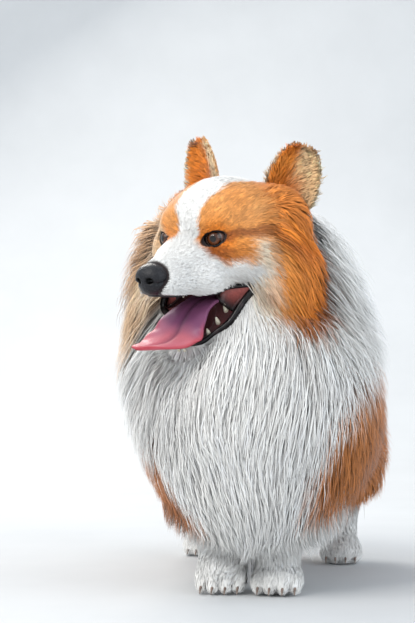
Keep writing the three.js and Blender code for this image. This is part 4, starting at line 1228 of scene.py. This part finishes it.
def almond(angle, grow):
    """The lids' opening on the eye, made wider by a margin, with pointed corners."""
    c, s = np.cos(angle), np.sin(angle)
    corner = np.abs(c) ** 8
    u = (EYE_HALF_WIDTH + grow * (1 + 0.8 * corner * (grow < 4))) * c
    v = (EYE_HALF_HEIGHT + grow) * np.sign(s) * np.abs(s) ** 1.35
    return u, v + EYE_TILT * u - 1.2 * np.maximum(-c, 0) ** 4


def eye_gap(p):
    """Roughly how far a point on the head lies from the nearer eye's opening."""
    best = np.full(len(p), 99.0)
    for side in (1, -1):
        axis, outward, upward = eye_axes(side)
        q = p - eye_centre(side)
        u, v, w = q @ outward, q @ upward, q @ axis
        share = np.hypot(u / EYE_HALF_WIDTH, (v - EYE_TILT * u) / EYE_HALF_HEIGHT)
        gap = (share - 1) * EYE_HALF_HEIGHT * 1.15
        best = np.where((w > -8) & (np.linalg.norm(q, axis=-1) < 34), np.minimum(best, gap), best)
    return best


def lid_rows(side):
    axis, outward, upward = eye_axes(side)
    centre = eye_centre(side)
    angle = np.linspace(0, 2 * np.pi, LID_STEPS, endpoint=False)
    rows = []
    for i, grow in enumerate(LID_GROWTH):
        u, v = almond(angle, grow)
        flat = centre + u[:, None] * outward + v[:, None] * upward
        radius = EYEBALL_RADIUS + LID_RISE[i]
        ball_depth = np.sqrt(np.maximum(radius ** 2 - u ** 2 - v ** 2, 3.0 ** 2))
        surface = reach_skin(flat, axis, 26.0, 24)
        skin_height = (surface - flat) @ axis
        depth = ball_depth if i < 3 else blend_max(ball_depth, skin_height, 3.0)
        share = smooth(2, len(LID_GROWTH) - 1, i)
        depth = depth + (skin_height - 0.8 - depth) * share if i > 2 else depth
        rows.append(flat + depth[:, None] * axis)
    return np.stack(rows)


def lid_faces(points, side):
    """Quads of the rows round an eye, facing out of it."""
    faces = grid_faces(len(points) // LID_STEPS, LID_STEPS, closed=True)
    if (mesh_normals(points, faces) @ eye_axes(side)[0]).mean() < 0:
        faces = faces[:, ::-1]
    return faces


def make_lids(side):
    """The fleshy band from the dark rim out to the skin."""
    points = lid_rows(side)[2:].reshape(-1, 3)
    return points, lid_faces(points, side)


def make_rim(side, name):
    points = lid_rows(side)[:RIM_ROWS].reshape(-1, 3)
    faces = lid_faces(points, side)
    rim = mesh_from(f"eyelid_rim_{name}", points + 0.25 * eye_axes(side)[0], faces, RIM)
    paint(rim, "Tint", np.tile(RIM_DARK, (len(points), 1)))
    put_on_dog(rim, "nose_leather")


IRIS_EDGE = 0.68
PUPIL_EDGE = 0.3


def make_eyeball(side, name):
    axis, outward, upward = eye_axes(side)
    rings, around = 40, 48
    theta = np.linspace(0.02, np.pi - 0.02, rings)
    phi = np.linspace(0, 2 * np.pi, around, endpoint=False)
    bulge = EYEBALL_RADIUS + 0.9 * smooth(0.7, 0.3, theta) - 0.3
    ring = (np.sin(theta) * bulge)[:, None, None]
    sections = (eye_centre(side) + (np.cos(theta) * bulge)[:, None, None] * axis
                + ring * (outward * np.cos(phi)[None, :, None] + upward * np.sin(phi)[None, :, None]))
    points, faces = closed_tube(sections)
    angle = np.repeat(theta, around)
    turn = np.tile(phi, rings)
    streak = 0.8 + 0.25 * np.sin(turn * 23) * np.sin(turn * 9 + 1)
    # Painted light and shade: the iris is lighter below and darker above, as light from above falls through
    # the cornea onto its lower part
    low = smooth(0.3, -0.7, np.sin(turn))
    colour = IRIS * (streak * (0.6 + 0.8 * low))[:, None]
    colour = mix(colour, PUPIL, smooth(PUPIL_EDGE + 0.05, PUPIL_EDGE - 0.05, angle))
    colour = mix(colour, IRIS_RING, smooth(IRIS_EDGE - 0.08, IRIS_EDGE, angle))
    colour = mix(colour, EYE_WHITE, smooth(IRIS_EDGE + 0.05, IRIS_EDGE + 0.22, angle))
    eye = mesh_from(f"eyeball_{name}", points, turned_out(points, faces), EYE)
    paint(eye, "Tint", np.concatenate([colour, [PUPIL] * 2]))
    put_on_dog(eye, "eye", f"eye_{name}")


# Ears: upright cups, open forwards and outwards, with round tips
EARS = {
    1: {"base": [66, 90, 42], "tip": [83, 92, 91], "half": 28.5, "facing": [0.42, -0.9, 0.08]},
    -1: {"base": [-60, 94, 46], "tip": [-65, 101, 103], "half": 26.5, "facing": [-0.3, -0.94, 0.08]},
}
EAR_THICK = 5.0
EAR_CUP = 15
EAR_ROOT = 0.42
EAR_OUTER_POWER = 3.2
EAR_INNER_POWER = 1.7
EAR_ROWS = 30
EAR_COLUMNS = 21
EAR_TUFTS = 4300
EAR_BARE_BELOW = -0.3
EAR_BARE_ABOVE = 0.94
EAR_ROOT_DEPTH = 0.8
EAR_STEPS = (0.0, 0.35, 0.7, 1.0)


def ear_axes(side):
    ear = EARS[side]
    rise = np.array(ear["tip"], float) - ear["base"]
    out = unit(np.array(ear["facing"], float))
    return rise, out, unit(np.cross(unit(rise), out))


def make_ear(side):
    """The ear's closed sheet, with its rows' and columns' shares for each point."""
    ear = EARS[side]
    rise, out, across = ear_axes(side)
    t = -EAR_ROOT + (1 + EAR_ROOT) * np.sin(np.linspace(0, 0.996, EAR_ROWS) * np.pi / 2) ** 0.92
    s = np.linspace(-1, 1, EAR_COLUMNS)
    t, s = np.meshgrid(t, s, indexing="ij")
    power = np.where(s * side > 0, EAR_OUTER_POWER, EAR_INNER_POWER)
    width = ear["half"] * np.sqrt(np.maximum(1 - np.maximum(t, 0) ** power, 0.004))
    trim = np.where(t < 0, 1 + 0.3 * t, 1)
    cup = -EAR_CUP * (1 - 0.6 * np.maximum(t, 0)) * (1 - s * s) * np.minimum(1, width / ear["half"] + 0.2)
    ripple = 0.8 * np.sin(5 * t + 2 * s) * (1 - s * s)
    thick = EAR_THICK * (0.35 + 0.65 * (1 - s ** 4)) * (1 - 0.5 * np.maximum(t, 0))
    middle = np.array(ear["base"]) + rise * t[..., None]
    sheets = []
    for depth in (ripple, ripple - thick):
        sheets.append(middle + across * (s * width * trim)[..., None] + out * (cup + depth)[..., None])
    front, back = (from_head(sheet) for sheet in sheets)
    points, faces = closed_tube(np.concatenate([front, back[:, ::-1]], axis=1))
    height = np.concatenate([t, t], axis=1).ravel()
    sideways = np.concatenate([s, s[:, ::-1]], axis=1).ravel() * side
    inside = np.concatenate([np.ones_like(s), np.zeros_like(s)], axis=1).ravel()
    ends = [[-EAR_ROOT, 0, 0.5], [1, 0, 0.5]]
    shares = np.concatenate([np.stack([height, sideways, inside], axis=1), ends])
    return points, turned_out(points, faces), shares


def ear_colour(p, shares, side):
    """shares: height from base to tip, sideways from the midline out, and 1 for the open side."""
    height, outer, inside = shares.T
    lively = 0.5 + 0.5 * wobble(p, 11, 6.0)
    back = mix(ORANGE, PEACH, 0.4 + 0.4 * lively)
    base = mix(VIVID, ORANGE, lively)
    medial = smooth(0.05, -0.55, outer)
    low = smooth(0.6, -0.1, height)
    fringe = mix(CREAM, PEACH, 0.35 + 0.4 * lively)
    inner = mix(fringe, base, np.maximum(medial, 0.8 * low * smooth(0.5, -0.2, outer)))
    if side < 0:
        inner = mix(base, CREAM, smooth(0.72, 0.98, np.abs(outer)) * 0.8)
        # Painted shade: the lower part of the right ear's open side, by the head, is darkened to rust as the
        # shadow inside its cup
        inner = mix(inner, RUST, 0.6 * smooth(0.5, 0.1, height) * smooth(0.1, 0.7, -outer))
    rim = smooth(0.86, 1.0, np.abs(outer)) * smooth(1.0, 0.5, height)
    colour = mix(back, inner, smooth(0.3, 0.7, inside))
    return mix(colour, CREAM, 0.75 * rim)


def ear_roots(points, faces, shares, rng):
    """Random roots on the ear, with their normals and shares, but none at the very tip."""
    quads = faces[0]
    normals = mesh_normals(points, faces)
    count = int(EAR_TUFTS * FULLNESS)
    corner = points[quads]
    area = np.linalg.norm(np.cross(corner[:, 2] - corner[:, 0], corner[:, 3] - corner[:, 1]), axis=1) / 2
    pick = quads[rng.choice(len(quads), count, p=area / area.sum())]
    u, v = rng.random((2, count, 1))
    weight = np.stack([(1 - u) * (1 - v), u * (1 - v), u * v, (1 - u) * v], axis=1)
    share = (shares[pick] * weight).sum(1)
    keep = (share[:, 0] > EAR_BARE_BELOW) & (share[:, 0] < EAR_BARE_ABOVE)
    return ((points[pick] * weight).sum(1)[keep], unit((normals[pick] * weight).sum(1))[keep], share[keep])


def grow_ear(side, name, rng):
    points, faces, shares = make_ear(side)
    ear = mesh_from(f"ear_skin_{name}", points, faces, SKIN)
    paint(ear, "Tint", ear_colour(points, shares, side) * 0.9)
    put_on_dog(ear, "coat_ear", f"ear_{name}")
    root, normal, share = ear_roots(points, faces, shares, rng)
    count = len(root)
    rise, _, across = (turn_head(v) for v in ear_axes(side))
    rise = unit(rise)
    outward = across * side
    height, outer, inside = share.T
    fan = 0.25 + 0.75 * smooth(-0.6, 0.4, outer) - 0.8 * smooth(-0.5, -0.95, outer)
    fan = np.where(inside > 0.5, fan, 0.5 * outer)
    guide = rise[None] * (1 - 0.35 * inside)[:, None] + outward[None] * fan[:, None]
    along = unit(guide - normal * dot(guide, normal))
    turn = ((rng.random(count) - 0.5) * 0.5)[:, None]
    along = along * np.cos(turn) + np.cross(normal, along) * np.sin(turn)
    length = np.where(inside > 0.5, 10 + 7 * smooth(0.7, 0, height), 8.0)
    length = length * (0.7 + 0.5 * rng.random(count))
    length = length * (1 - 0.45 * smooth(0.55, 1.0, np.abs(outer)) * inside)
    lift = 0.8 + 2.2 * rng.random(count) * (1 + inside)
    edge = smooth(0.8, 1.0, np.abs(outer))
    path = []
    for step in EAR_STEPS:
        rise_here = EAR_ROOT_DEPTH + lift * math.sin(step * 2.2) * (1 - 0.4 * edge)
        path.append(root - normal * EAR_ROOT_DEPTH + along * (length * step)[:, None]
                    + normal * rise_here[:, None] * min(1, step * 3))
    paths, lock = clump(np.stack(path, axis=1), 6, 0.6, rng)
    wide = 0.42 + 0.35 * rng.random(count)
    edge = np.maximum(edge, smooth(0.75, 0.95, height))[:, None]
    radial = rise[None] * np.maximum(height, 0)[:, None] + outward[None] * outer[:, None]
    shading = unit(normal * (1 - edge) + 1.2 * unit(radial) * edge)
    make_tufts(f"coat_ear_{name}", "coat_ear", root, shading, paths, wide, 0.6 * wide,
               ear_colour(root, share, side), lock, rng)


# Mouth: lips, the webs at its corners, tongue and teeth
def side_line(profile, side):
    way = turn_head([side, 0, 0])
    return reach_skin(from_head([[0, y, z] for y, z in profile]), way)


def front_line(centre, half_turn):
    """Points on the skin round the front of the mouth: half_turn is in degrees."""
    turns = 9
    angles = np.radians(np.linspace(half_turn, -half_turn, turns))
    ways = np.stack([turn_head([math.sin(a), -math.cos(a), 0]) for a in angles])
    return reach_skin(np.tile(from_head(centre), (turns, 1)), ways)


def mouth_edge(p, inward=0.0):
    """Settles points on the line where the mouth's opening meets the skin."""
    for _ in range(20):
        p = p - 0.7 * bare_skin(p)[:, None] * slope(bare_skin, p)
        p = p - 0.7 * mouth_field(p)[:, None] * slope(mouth_field, p)
    return p - inward * slope(bare_skin, p) - 0.6 * inward * slope(mouth_field, p)


def even_line(points, count, rounds=6):
    """The line at even steps, with small kinks smoothed away."""
    line = smooth_line(points, 6 * len(points))
    reach = np.concatenate([[0], np.cumsum(np.linalg.norm(np.diff(line, axis=0), axis=1))])
    at = np.linspace(0, reach[-1], count)
    line = np.stack([np.interp(at, reach, line[:, k]) for k in range(3)], axis=1)
    for _ in range(rounds):
        line[1:-1] = 0.5 * line[1:-1] + 0.25 * (line[:-2] + line[2:])
    return line


LOWER_EDGE = [[31, -54.5], [27.5, -60.5], [22, -70], [13, -81], [4, -92], [-7, -100.3], [-18, -108.5]]
UPPER_EDGE = [[31, -51.5], [20, -53.5], [10, -55.2], [0, -57], [-13, -58], [-26, -59], [-38, -57.8]]


LIP_STEPS = 130


def lip_line(edge, front, half_turn):
    """The line of a lip, from the left corner of the mouth round the front to the right one."""
    line = np.concatenate([side_line(edge, 1), front_line(front, half_turn), side_line(edge, -1)[::-1]])
    return even_line(mouth_edge(line, 1.0), LIP_STEPS)


def make_lips():
    along = np.abs(np.linspace(-1, 1, LIP_STEPS))
    low = lip_line(LOWER_EDGE, [0, -12, -110], 64)
    radius = 2.7 + 1.4 * smooth(0.3, 0.6, along) - 1.2 * smooth(0.93, 1.0, along)
    lower = round_tube(low, radius * (1 + 0.08 * wobble(low, 5, 3.0)))
    high = lip_line(UPPER_EDGE, [0, -46, -55.5], 60)
    upper = round_tube(high, 1.5 + 1.2 * smooth(0.6, 0.95, along))
    points, faces = join_meshes([lower, upper])
    lips = mesh_from("lips", points, faces, WET)
    paint(lips, "Tint", mix(LIP_DARK, LIP_LIGHT, smooth(0.2, 0.9, wobble(points, 4, 2.0))))
    put_on_dog(lips, "nose_leather")


def make_webs():
    """The webs of skin that join the lips at each corner of the mouth."""
    parts, colours = [], []
    rows, columns = 16, 12
    for side in (1, -1):
        upper = even_line(mouth_edge(side_line(UPPER_EDGE, side)[:4], 2.0), rows)
        lower = even_line(mouth_edge(side_line(LOWER_EDGE, side)[:4], 2.0), rows)
        share = np.linspace(0, 1, rows)[:, None]
        across = np.linspace(0, 1, columns)[None, :]
        sheet = upper[:, None] + (lower - upper)[:, None] * across[..., None]
        sink = 1.5 + 11 * np.sqrt(share) * np.sin(np.pi * across) ** 0.6
        sheet = sheet - turn_head([side, 0, 0]) * sink[..., None]
        back = sheet - turn_head([side * 1.4, -0.6, 0])
        parts.append(closed_tube(np.concatenate([sheet, back[:, ::-1]], axis=1)))
        pink = smooth(0.0, 0.2, share) * smooth(0.95, 0.5, share) * np.sin(np.pi * across) ** 0.5
        tint = mix(MOUTH_DARK, WEB_PINK, pink)
        tint = np.concatenate([tint, tint[:, ::-1]], axis=1).reshape(-1, 3)
        colours.append(np.concatenate([tint, [MOUTH_DARK] * 2]))
    points, faces = join_meshes(parts)
    webs = mesh_from("mouth_corners", points, faces, WET)
    paint(webs, "Tint", np.concatenate(colours))
    put_on_dog(webs, "tongue_flesh")


TONGUE_LINE = [
    {"at": [3, 30, -66], "half": 15, "side": [1, 0, 0]},
    {"at": [4, 6, -68], "half": 20, "side": [1, 0, -0.05]},
    {"at": [3, -14, -74], "half": 22, "side": [1, 0.05, -0.05]},
    {"at": [3, -31, -86], "half": 26, "side": [1, 0.18, -0.08]},
    {"at": [3, -43, -98], "half": 29, "side": [1, 0.3, -0.1]},
    {"at": [0, -58, -105], "half": 28, "side": [1, 0.42, -0.08]},
    {"at": [-5, -73, -106.5], "half": 21, "side": [1, 0.46, -0.05]},
    {"at": [-11, -86, -106], "half": 11, "side": [1, 0.46, -0.04]},
]
TONGUE_THICK = 7


def make_tongue():
    rows, columns = 72, 25
    middle = smooth_line([part["at"] for part in TONGUE_LINE], rows)
    side = unit(smooth_line([part["side"] for part in TONGUE_LINE], rows))
    half = smooth_line([[part["half"], 0, 0] for part in TONGUE_LINE], rows)[:, 0]
    share = np.linspace(0, 1, rows)
    half = half * np.sqrt(np.clip(1 - smooth(0.93, 1.0, share) * 0.75, 0, 1))
    ahead = unit(np.gradient(middle, axis=0))
    top = unit(np.cross(ahead, side))
    s = np.linspace(-1, 1, columns)
    groove = 2.3 * np.exp(-(s / 0.14) ** 2) * smooth(1.0, 0.8, share)[:, None]
    phase = share[:, None] * 26 + 2.2 * np.sign(s) + 1.2 * np.sin(share[:, None] * 11)
    wave = 1.1 * smooth(0.55, 1.0, np.abs(s)) * np.sin(phase)
    thick = TONGUE_THICK * (1 - 0.35 * smooth(0.6, 1.0, share))[:, None]
    half_thick = 0.5 * thick * (0.35 + 0.65 * (1 - s ** 4))
    flat = middle[:, None] + side[:, None] * (s * half[:, None])[..., None]
    upper = flat + top[:, None] * (half_thick - groove + wave)[..., None]
    lower = flat + top[:, None] * (wave - half_thick)[..., None]
    points, faces = closed_tube(from_head(np.concatenate([upper, lower[:, ::-1]], axis=1)))
    along = np.repeat(share, 2 * columns)
    across = np.tile(np.concatenate([s, s[::-1]]), rows)
    tip = smooth(0.42, 0.66, along + 0.05 * wobble(points[:-2], 12, 2.0))
    rim = smooth(0.8, 1.0, np.abs(across)) * smooth(0.35, 0.6, along)
    # Painted shade in the groove down the middle of the tongue
    crease_shade = np.exp(-(across / 0.1) ** 2) * smooth(0.95, 0.6, along)
    # The back of the tongue, inside the mouth, is painted shaded purple and the front pink: painted shade
    colour = mix(TONGUE_SHADED_PURPLE, TONGUE_PINK, tip)
    colour = mix(colour, TONGUE_RED, 0.75 * rim)
    colour = mix(colour, TONGUE_RED, 0.7 * smooth(0.93, 1.0, along))
    colour = mix(colour, TONGUE_SHADED_PURPLE * 0.45, 0.6 * crease_shade)
    tongue = mesh_from("tongue_blade", points, faces, TONGUE)
    paint(tongue, "Tint", np.concatenate([colour, [TONGUE_SHADED_PURPLE, TONGUE_RED]]))
    put_on_dog(tongue, "tongue_flesh", "tongue")


UPPER_TEETH = {
    "line": [[3, -60, -51], [10, -54, -52], [16, -30, -53], [19, -6, -52]],
    "heights": [3, 3, 6, 4, 4, 4],
    "radii": [2, 2.2, 2.9, 2.8, 3.2, 3.4],
    "way": [0, 0, -1],
}
LOWER_TEETH = {
    "line": [[4, -34, -114], [12, -27, -112], [20, -8, -100.5], [27, 14, -79]],
    "heights": [1.5, 1.5, 7, 7, 9],
    "radii": [1.5, 1.7, 2.4, 2.7, 3.2],
    "way": [0, -0.5, 0.86],
}


# A tooth's sections, as shares of its length and of its radius, and the depth of its root
TOOTH_STEPS = np.array([0, 0.25, 0.5, 0.72, 0.88, 0.97])
TOOTH_PROFILE = np.array([0.9, 1.0, 0.86, 0.62, 0.38, 0.16])
TOOTH_ROOT = 4


def make_teeth():
    parts = []
    for row in (UPPER_TEETH, LOWER_TEETH):
        line = np.array(row["line"], float)
        at = np.concatenate([[0], np.cumsum(np.linalg.norm(np.diff(line, axis=0), axis=1))])
        way = unit(np.array(row["way"], float))
        for i, (height, radius) in enumerate(zip(row["heights"], row["radii"])):
            reach = i / (len(row["heights"]) - 1) * at[-1]
            place = np.array([np.interp(reach, at, line[:, k]) for k in range(3)])
            rise = way * (TOOTH_STEPS * (height + TOOTH_ROOT) - TOOTH_ROOT)[:, None]
            bend = np.array([0.0, 0.6, 0.0]) * (height / 9) * TOOTH_STEPS[:, None] ** 2
            for side in (1, -1):
                centre = from_head(place * [side, 1, 1] + rise + bend)
                parts.append(round_tube(centre, radius * TOOTH_PROFILE, turn_head([0.2, 1, 0.1]), sides=9))
    put_on_dog(mesh_from("teeth", *join_meshes(parts), TEETH), "coat_jaw")


# Nose: the hole and the slit of each nostril, and the groove between them
NOSTRIL_FORMS = [
    ball([7.2, -89, -35.5], [4.2, 9, 3.6]),
    bone([8.5, -88, -37], 2.1, [14.5, -80, -39.5], 1.7),
    bone([14.5, -80, -39.5], 1.7, [17.5, -72, -37], 1.1),
]
NOSTRIL_INSIDE = ball([7.2, -87, -35.5], [4.2, 8, 3.6])
NOSE_GROOVE = bone([0, -90, -37], 0.9, [0, -83, -50], 0.9)
NOSE_CORNERS = [[x, y, z] for x in (-22, 22) for y in (-94, -52) for z in (-56, -14)]


def one_sided(p):
    """Points in the head's frame, with those on its right moved over to its left."""
    q = to_head(p)
    q[..., 0] = np.abs(q[..., 0])
    return q


def nose_field(p):
    q = one_sided(p)
    result = NOSE(p)
    for hole in NOSTRIL_FORMS:
        result = blend_max(result, -form_distance(hole, q), 2.0)
    return blend_max(result, -form_distance(NOSE_GROOVE, q), 1.6)


def make_nose():
    step = 0.8
    corners = from_head(NOSE_CORNERS)
    axes = [np.arange(low, high, step) for low, high in zip(corners.min(0) - 3, corners.max(0) + 3)]
    points, faces = surface_net(nose_field, *axes)
    points = settle(nose_field, points)
    nose = mesh_from("nose_pad", points, faces, LEATHER)
    # The nostrils' insides are painted near black: painted shade in the holes
    inner = form_distance(NOSTRIL_INSIDE, one_sided(points))
    paint(nose, "Tint", mix(NOSE_GREY, NOSTRIL_PAINTED_SHADE, smooth(1.0, -0.5, inner)))
    put_on_dog(nose, "nose_leather", "nose")


# Claws: how far each point of the curve lies ahead of the toe, and its drop
CLAW_CURVE = ((27, 0), (33, 0), (37, 2.6), (39, 5.4))
CLAW_HEIGHT = 8.4
CLAW_RADII = (2.4, 0.6)


def make_claws():
    parts = []
    for paw, heel, spread in PAWS:
        for _, x, y in toe_places(paw, spread):
            base = CLAW_HEIGHT - heel * 0.05
            line = smooth_line([[x, y - ahead, base - drop] for ahead, drop in CLAW_CURVE], 10)
            radii = np.linspace(*CLAW_RADII, len(line))
            line[:, 2] = np.maximum(line[:, 2], radii + 0.3)
            parts.append(round_tube(line, radii, sides=9, flat=0.75))
    put_on_dog(mesh_from("claws", *join_meshes(parts), HORN), "nose_leather")


# Floor, light and camera
def make_studio():
    """A pale floor that bends up into a backdrop, in metres."""
    mesh = bpy.data.meshes.new("floor")
    reach, front, back, rise, bend, steps = 6.0, -4.0, 3.2, 4.0, 1.4, 16
    profile = [(front, 0.0), (back - bend, 0.0)]
    for i in range(1, steps + 1):
        angle = i / steps * math.pi / 2
        profile.append((back - bend + bend * math.sin(angle), bend - bend * math.cos(angle)))
    profile.append((back, rise))
    verts = [(x, y, z) for y, z in profile for x in (-reach, reach)]
    faces = [(2 * i, 2 * i + 1, 2 * i + 3, 2 * i + 2) for i in range(len(profile) - 1)]
    mesh.from_pydata(verts, [], faces)
    mesh.polygons.foreach_set("use_smooth", [True] * len(faces))
    material, tree, shader = new_material("studio_floor")
    noise = noise_node(tree, 3)
    ramp = ramp_node(tree, noise.outputs["Fac"], [(0.3, (0.56, 0.57, 0.58)), (0.7, (0.6, 0.61, 0.62))])
    tree.links.new(ramp.outputs["Color"], shader.inputs["Base Color"])
    shader.inputs["Roughness"].default_value = 0.9
    mesh.materials.append(material)
    add_object("floor", mesh)


def make_light(name, place, aim, size, power, colour):
    data = bpy.data.lights.new(name, "AREA")
    data.shape = "DISK"
    data.size = size
    data.energy = power
    data.color = colour
    light = add_object(name, data)
    way = unit(np.array(aim) - np.array(place))
    yaw = math.atan2(way[1], way[0]) - math.pi / 2
    light.location = place
    light.rotation_euler = (math.acos(-way[2]), 0, yaw)


def make_camera():
    look = np.array([-math.sin(CAMERA_YAW), math.cos(CAMERA_YAW), 0])
    right = np.array([math.cos(CAMERA_YAW), math.sin(CAMERA_YAW), 0])
    place = -look * CAMERA_DISTANCE - right * CAMERA_ASIDE + np.array([0, 0, CAMERA_HEIGHT])
    data = bpy.data.cameras.new("camera")
    data.sensor_fit = "VERTICAL"
    data.sensor_height = SENSOR
    data.lens = SENSOR * FOCAL_PIXELS / PHOTO_HEIGHT
    data.clip_end = 50
    camera = add_object("camera", data)
    camera.location = (place + SHIFT) / 1000
    camera.rotation_euler = (math.pi / 2 + CAMERA_PITCH, 0, CAMERA_YAW)
    bpy.context.scene.camera = camera


def make_world():
    world = bpy.data.worlds.new("studio")
    world.use_nodes = True
    background = world.node_tree.nodes["Background"]
    background.inputs["Color"].default_value = (0.86, 0.93, 1.0, 1)
    background.inputs["Strength"].default_value = 1.0
    bpy.context.scene.world = world
    bpy.context.scene.view_settings.view_transform = "Standard"


LIMBS = ("foreleg", "forepaw", "hindleg", "hindpaw")
# Places and sizes in metres, power in watts
LIGHTS = {
    "key": {"place": (-1.7, -2.2, 2.6), "aim": (0, -0.1, 0.25), "size": 2.8, "power": 74,
            "colour": WARM_LIGHT},
    "catch": {"place": (-0.9, -2.4, 1.8), "aim": (0, -0.1, 0.4), "size": 0.3, "power": 7,
              "colour": (1.0, 0.98, 0.95)},
    "fill": {"place": (2.6, -1.6, 1.4), "aim": (0, 0, 0.25), "size": 2.4, "power": 26,
             "colour": (0.9, 0.95, 1.0)},
    "rim": {"place": (-1.2, 2.2, 2.4), "aim": (0, 0, 0.3), "size": 1.6, "power": 60,
            "colour": WARM_LIGHT},
}
make_studio()
make_world()
for light_name, light_facts in LIGHTS.items():
    make_light(light_name, **light_facts)
make_camera()

# The skin and its coats
SKIN_POINTS, skin_groups = join_meshes([make_skin(), make_lids(1), make_lids(-1)])
SKIN_FACES = skin_groups[0]
SKIN_NORMALS = mesh_normals(SKIN_POINTS, SKIN_FACES)
skin = mesh_from("skin", SKIN_POINTS, SKIN_FACES, SKIN)
paint(skin, "Tint", skin_colour(SKIN_POINTS))
put_on_dog(skin, "coat_body", "head", "lower_jaw", "neck", "torso", "tail",
           *[f"{limb}_{side}" for limb in LIMBS for side in ("left", "right")])


def coat_allowed(p):
    """No tufts in the mouth, on the eyes or on the nose."""
    clear = (mouth_field(p) > 2.2) | ~in_box(p, MOUTH_BOX, 0)
    return clear & (NOSE(p) > 1.5) & (eye_gap(p) > 2.2)


def clear_of_openings(paths):
    """Tufts whose tips don't hang over the mouth, the nose or the eyes."""
    clear = np.ones(len(paths), bool)
    for i in range(1, paths.shape[1]):
        p = paths[:, i]
        clear &= (mouth_field(p) > -0.5) | ~in_box(p, MOUTH_BOX, 0)
        clear &= (NOSE(p) > 0.5) & (eye_gap(p) > 0.8)
    return clear


def make_coat(name, where, steps, density, width, every, pull, scatter, seed, wave=0.0, lowest=2.0):
    """One coat: where is its share of the skin, every the tufts in a lock, pull how close they lie."""
    rng = np.random.default_rng(seed)
    root, normal = spread_roots(SKIN_POINTS, SKIN_FACES, SKIN_NORMALS,
                                lambda p: density * FULLNESS * where(p), rng)
    keep = coat_allowed(root)
    root, normal = root[keep], normal[keep]
    share = region_shares(root)
    _, out = COVER.sample(root)
    near_eye = smooth(3, 22, eye_gap(root))
    length = coat_length(root, share) * (0.75 + 0.4 * rng.random(len(root))) * (0.4 + 0.6 * near_eye)
    if lowest > PAW_TOP:
        length = np.minimum(length, np.maximum(root[:, 2] - lowest - 0.5 * np.abs(root[:, 0] - 15), 14))
    lift = coat_lift(root, out, share) * (0.66 + 0.38 * rng.random(len(root)))
    paths = lay_paths(root, normal, length, lift, steps, scatter, lowest, wave, rng)
    paths, _ = clump(paths, 9 * every, 0.5 * pull, rng)
    paths, lock = clump(paths, every, pull, rng)
    shown = clear_of_openings(paths)
    root, paths, lock, out = root[shown], paths[shown], lock[shown], out[shown]
    share = {region: own[shown] for region, own in share.items()}
    snout = smooth(4, -24, to_head(root)[:, 1]) * share["head"]
    wide = width * (0.7 + 0.6 * rng.random(len(root))) * (1 - 0.4 * snout)
    colour = coat_colour(root, share)
    triangles = 6 * len(steps) - 2
    parts = max(1, math.ceil(len(root) / (MOST_TRIANGLES // triangles)))
    order = np.argsort(root[:, 0] + 1.7 * root[:, 2], kind="stable")
    for part, own in enumerate(np.array_split(order, parts)):
        make_tufts(f"{name}_{part + 1}", "coat_body", root[own], out[own], paths[own], wide[own],
                   TUFT_THICKNESS * wide[own], colour[own], lock[own], rng)


def is_face(p):
    h = to_head(p)
    near = smooth(14, 6, np.minimum(HEAD(p), JAW(p)))
    return near * smooth(52, 40, h[:, 1])


def is_long(p):
    share = region_shares(p)
    part = share["neck"] + share["torso"] * smooth(110, 50, p[:, 1])
    return part * (1 - is_face(p)) * smooth(60, 80, p[:, 2])


def is_body(p):
    share = region_shares(p)
    part = share["torso"] * smooth(50, 110, p[:, 1]) + share["hindleg"] * smooth(70, 90, p[:, 2])
    return (part + share["tail"]) * (1 - is_face(p))


def is_ruff(p):
    share = region_shares(p)
    return (share["head"] + share["jaw"]) * (1 - is_face(p))


def is_leg(p):
    share = region_shares(p)
    return np.clip(share["foreleg"] + share["paw"] + share["hindleg"] * smooth(92, 70, p[:, 2])
                   + share["torso"] * smooth(84, 60, p[:, 2]), 0, 1)


# Densities are tufts to a square millimetre, and widths are half of a tuft's
COATS = {
    "mane": {"where": is_long, "steps": LONG_STEPS, "density": 0.18, "width": 0.68, "every": 10, "pull": 0.4,
             "scatter": 0.22, "seed": 11, "wave": 0.1, "lowest": 30},
    "back": {"where": is_body, "steps": MIDDLE_STEPS, "density": 0.085, "width": 0.95, "every": 8,
             "pull": 0.45, "scatter": 0.25, "seed": 13, "wave": 0.1, "lowest": 30},
    "ruff": {"where": is_ruff, "steps": MIDDLE_STEPS, "density": 0.42, "width": 0.6, "every": 10,
             "pull": 0.6, "scatter": 0.25, "seed": 17, "wave": 0.1},
    "face": {"where": is_face, "steps": SHORT_STEPS, "density": 0.82, "width": 0.48, "every": 7, "pull": 0.6,
             "scatter": 0.3, "seed": 19},
    "legs": {"where": is_leg, "steps": SHORT_STEPS, "density": 0.16, "width": 0.7, "every": 6, "pull": 0.5,
             "scatter": 0.3, "seed": 23},
}
for coat_name, coat_facts in COATS.items():
    make_coat(coat_name, **coat_facts)
for side_name, head_side in (("left", 1), ("right", -1)):
    make_eyeball(head_side, side_name)
    make_rim(head_side, side_name)
    grow_ear(head_side, side_name, np.random.default_rng(31 + head_side))
make_lips()
make_webs()
make_tongue()
make_teeth()
make_nose()
make_claws()
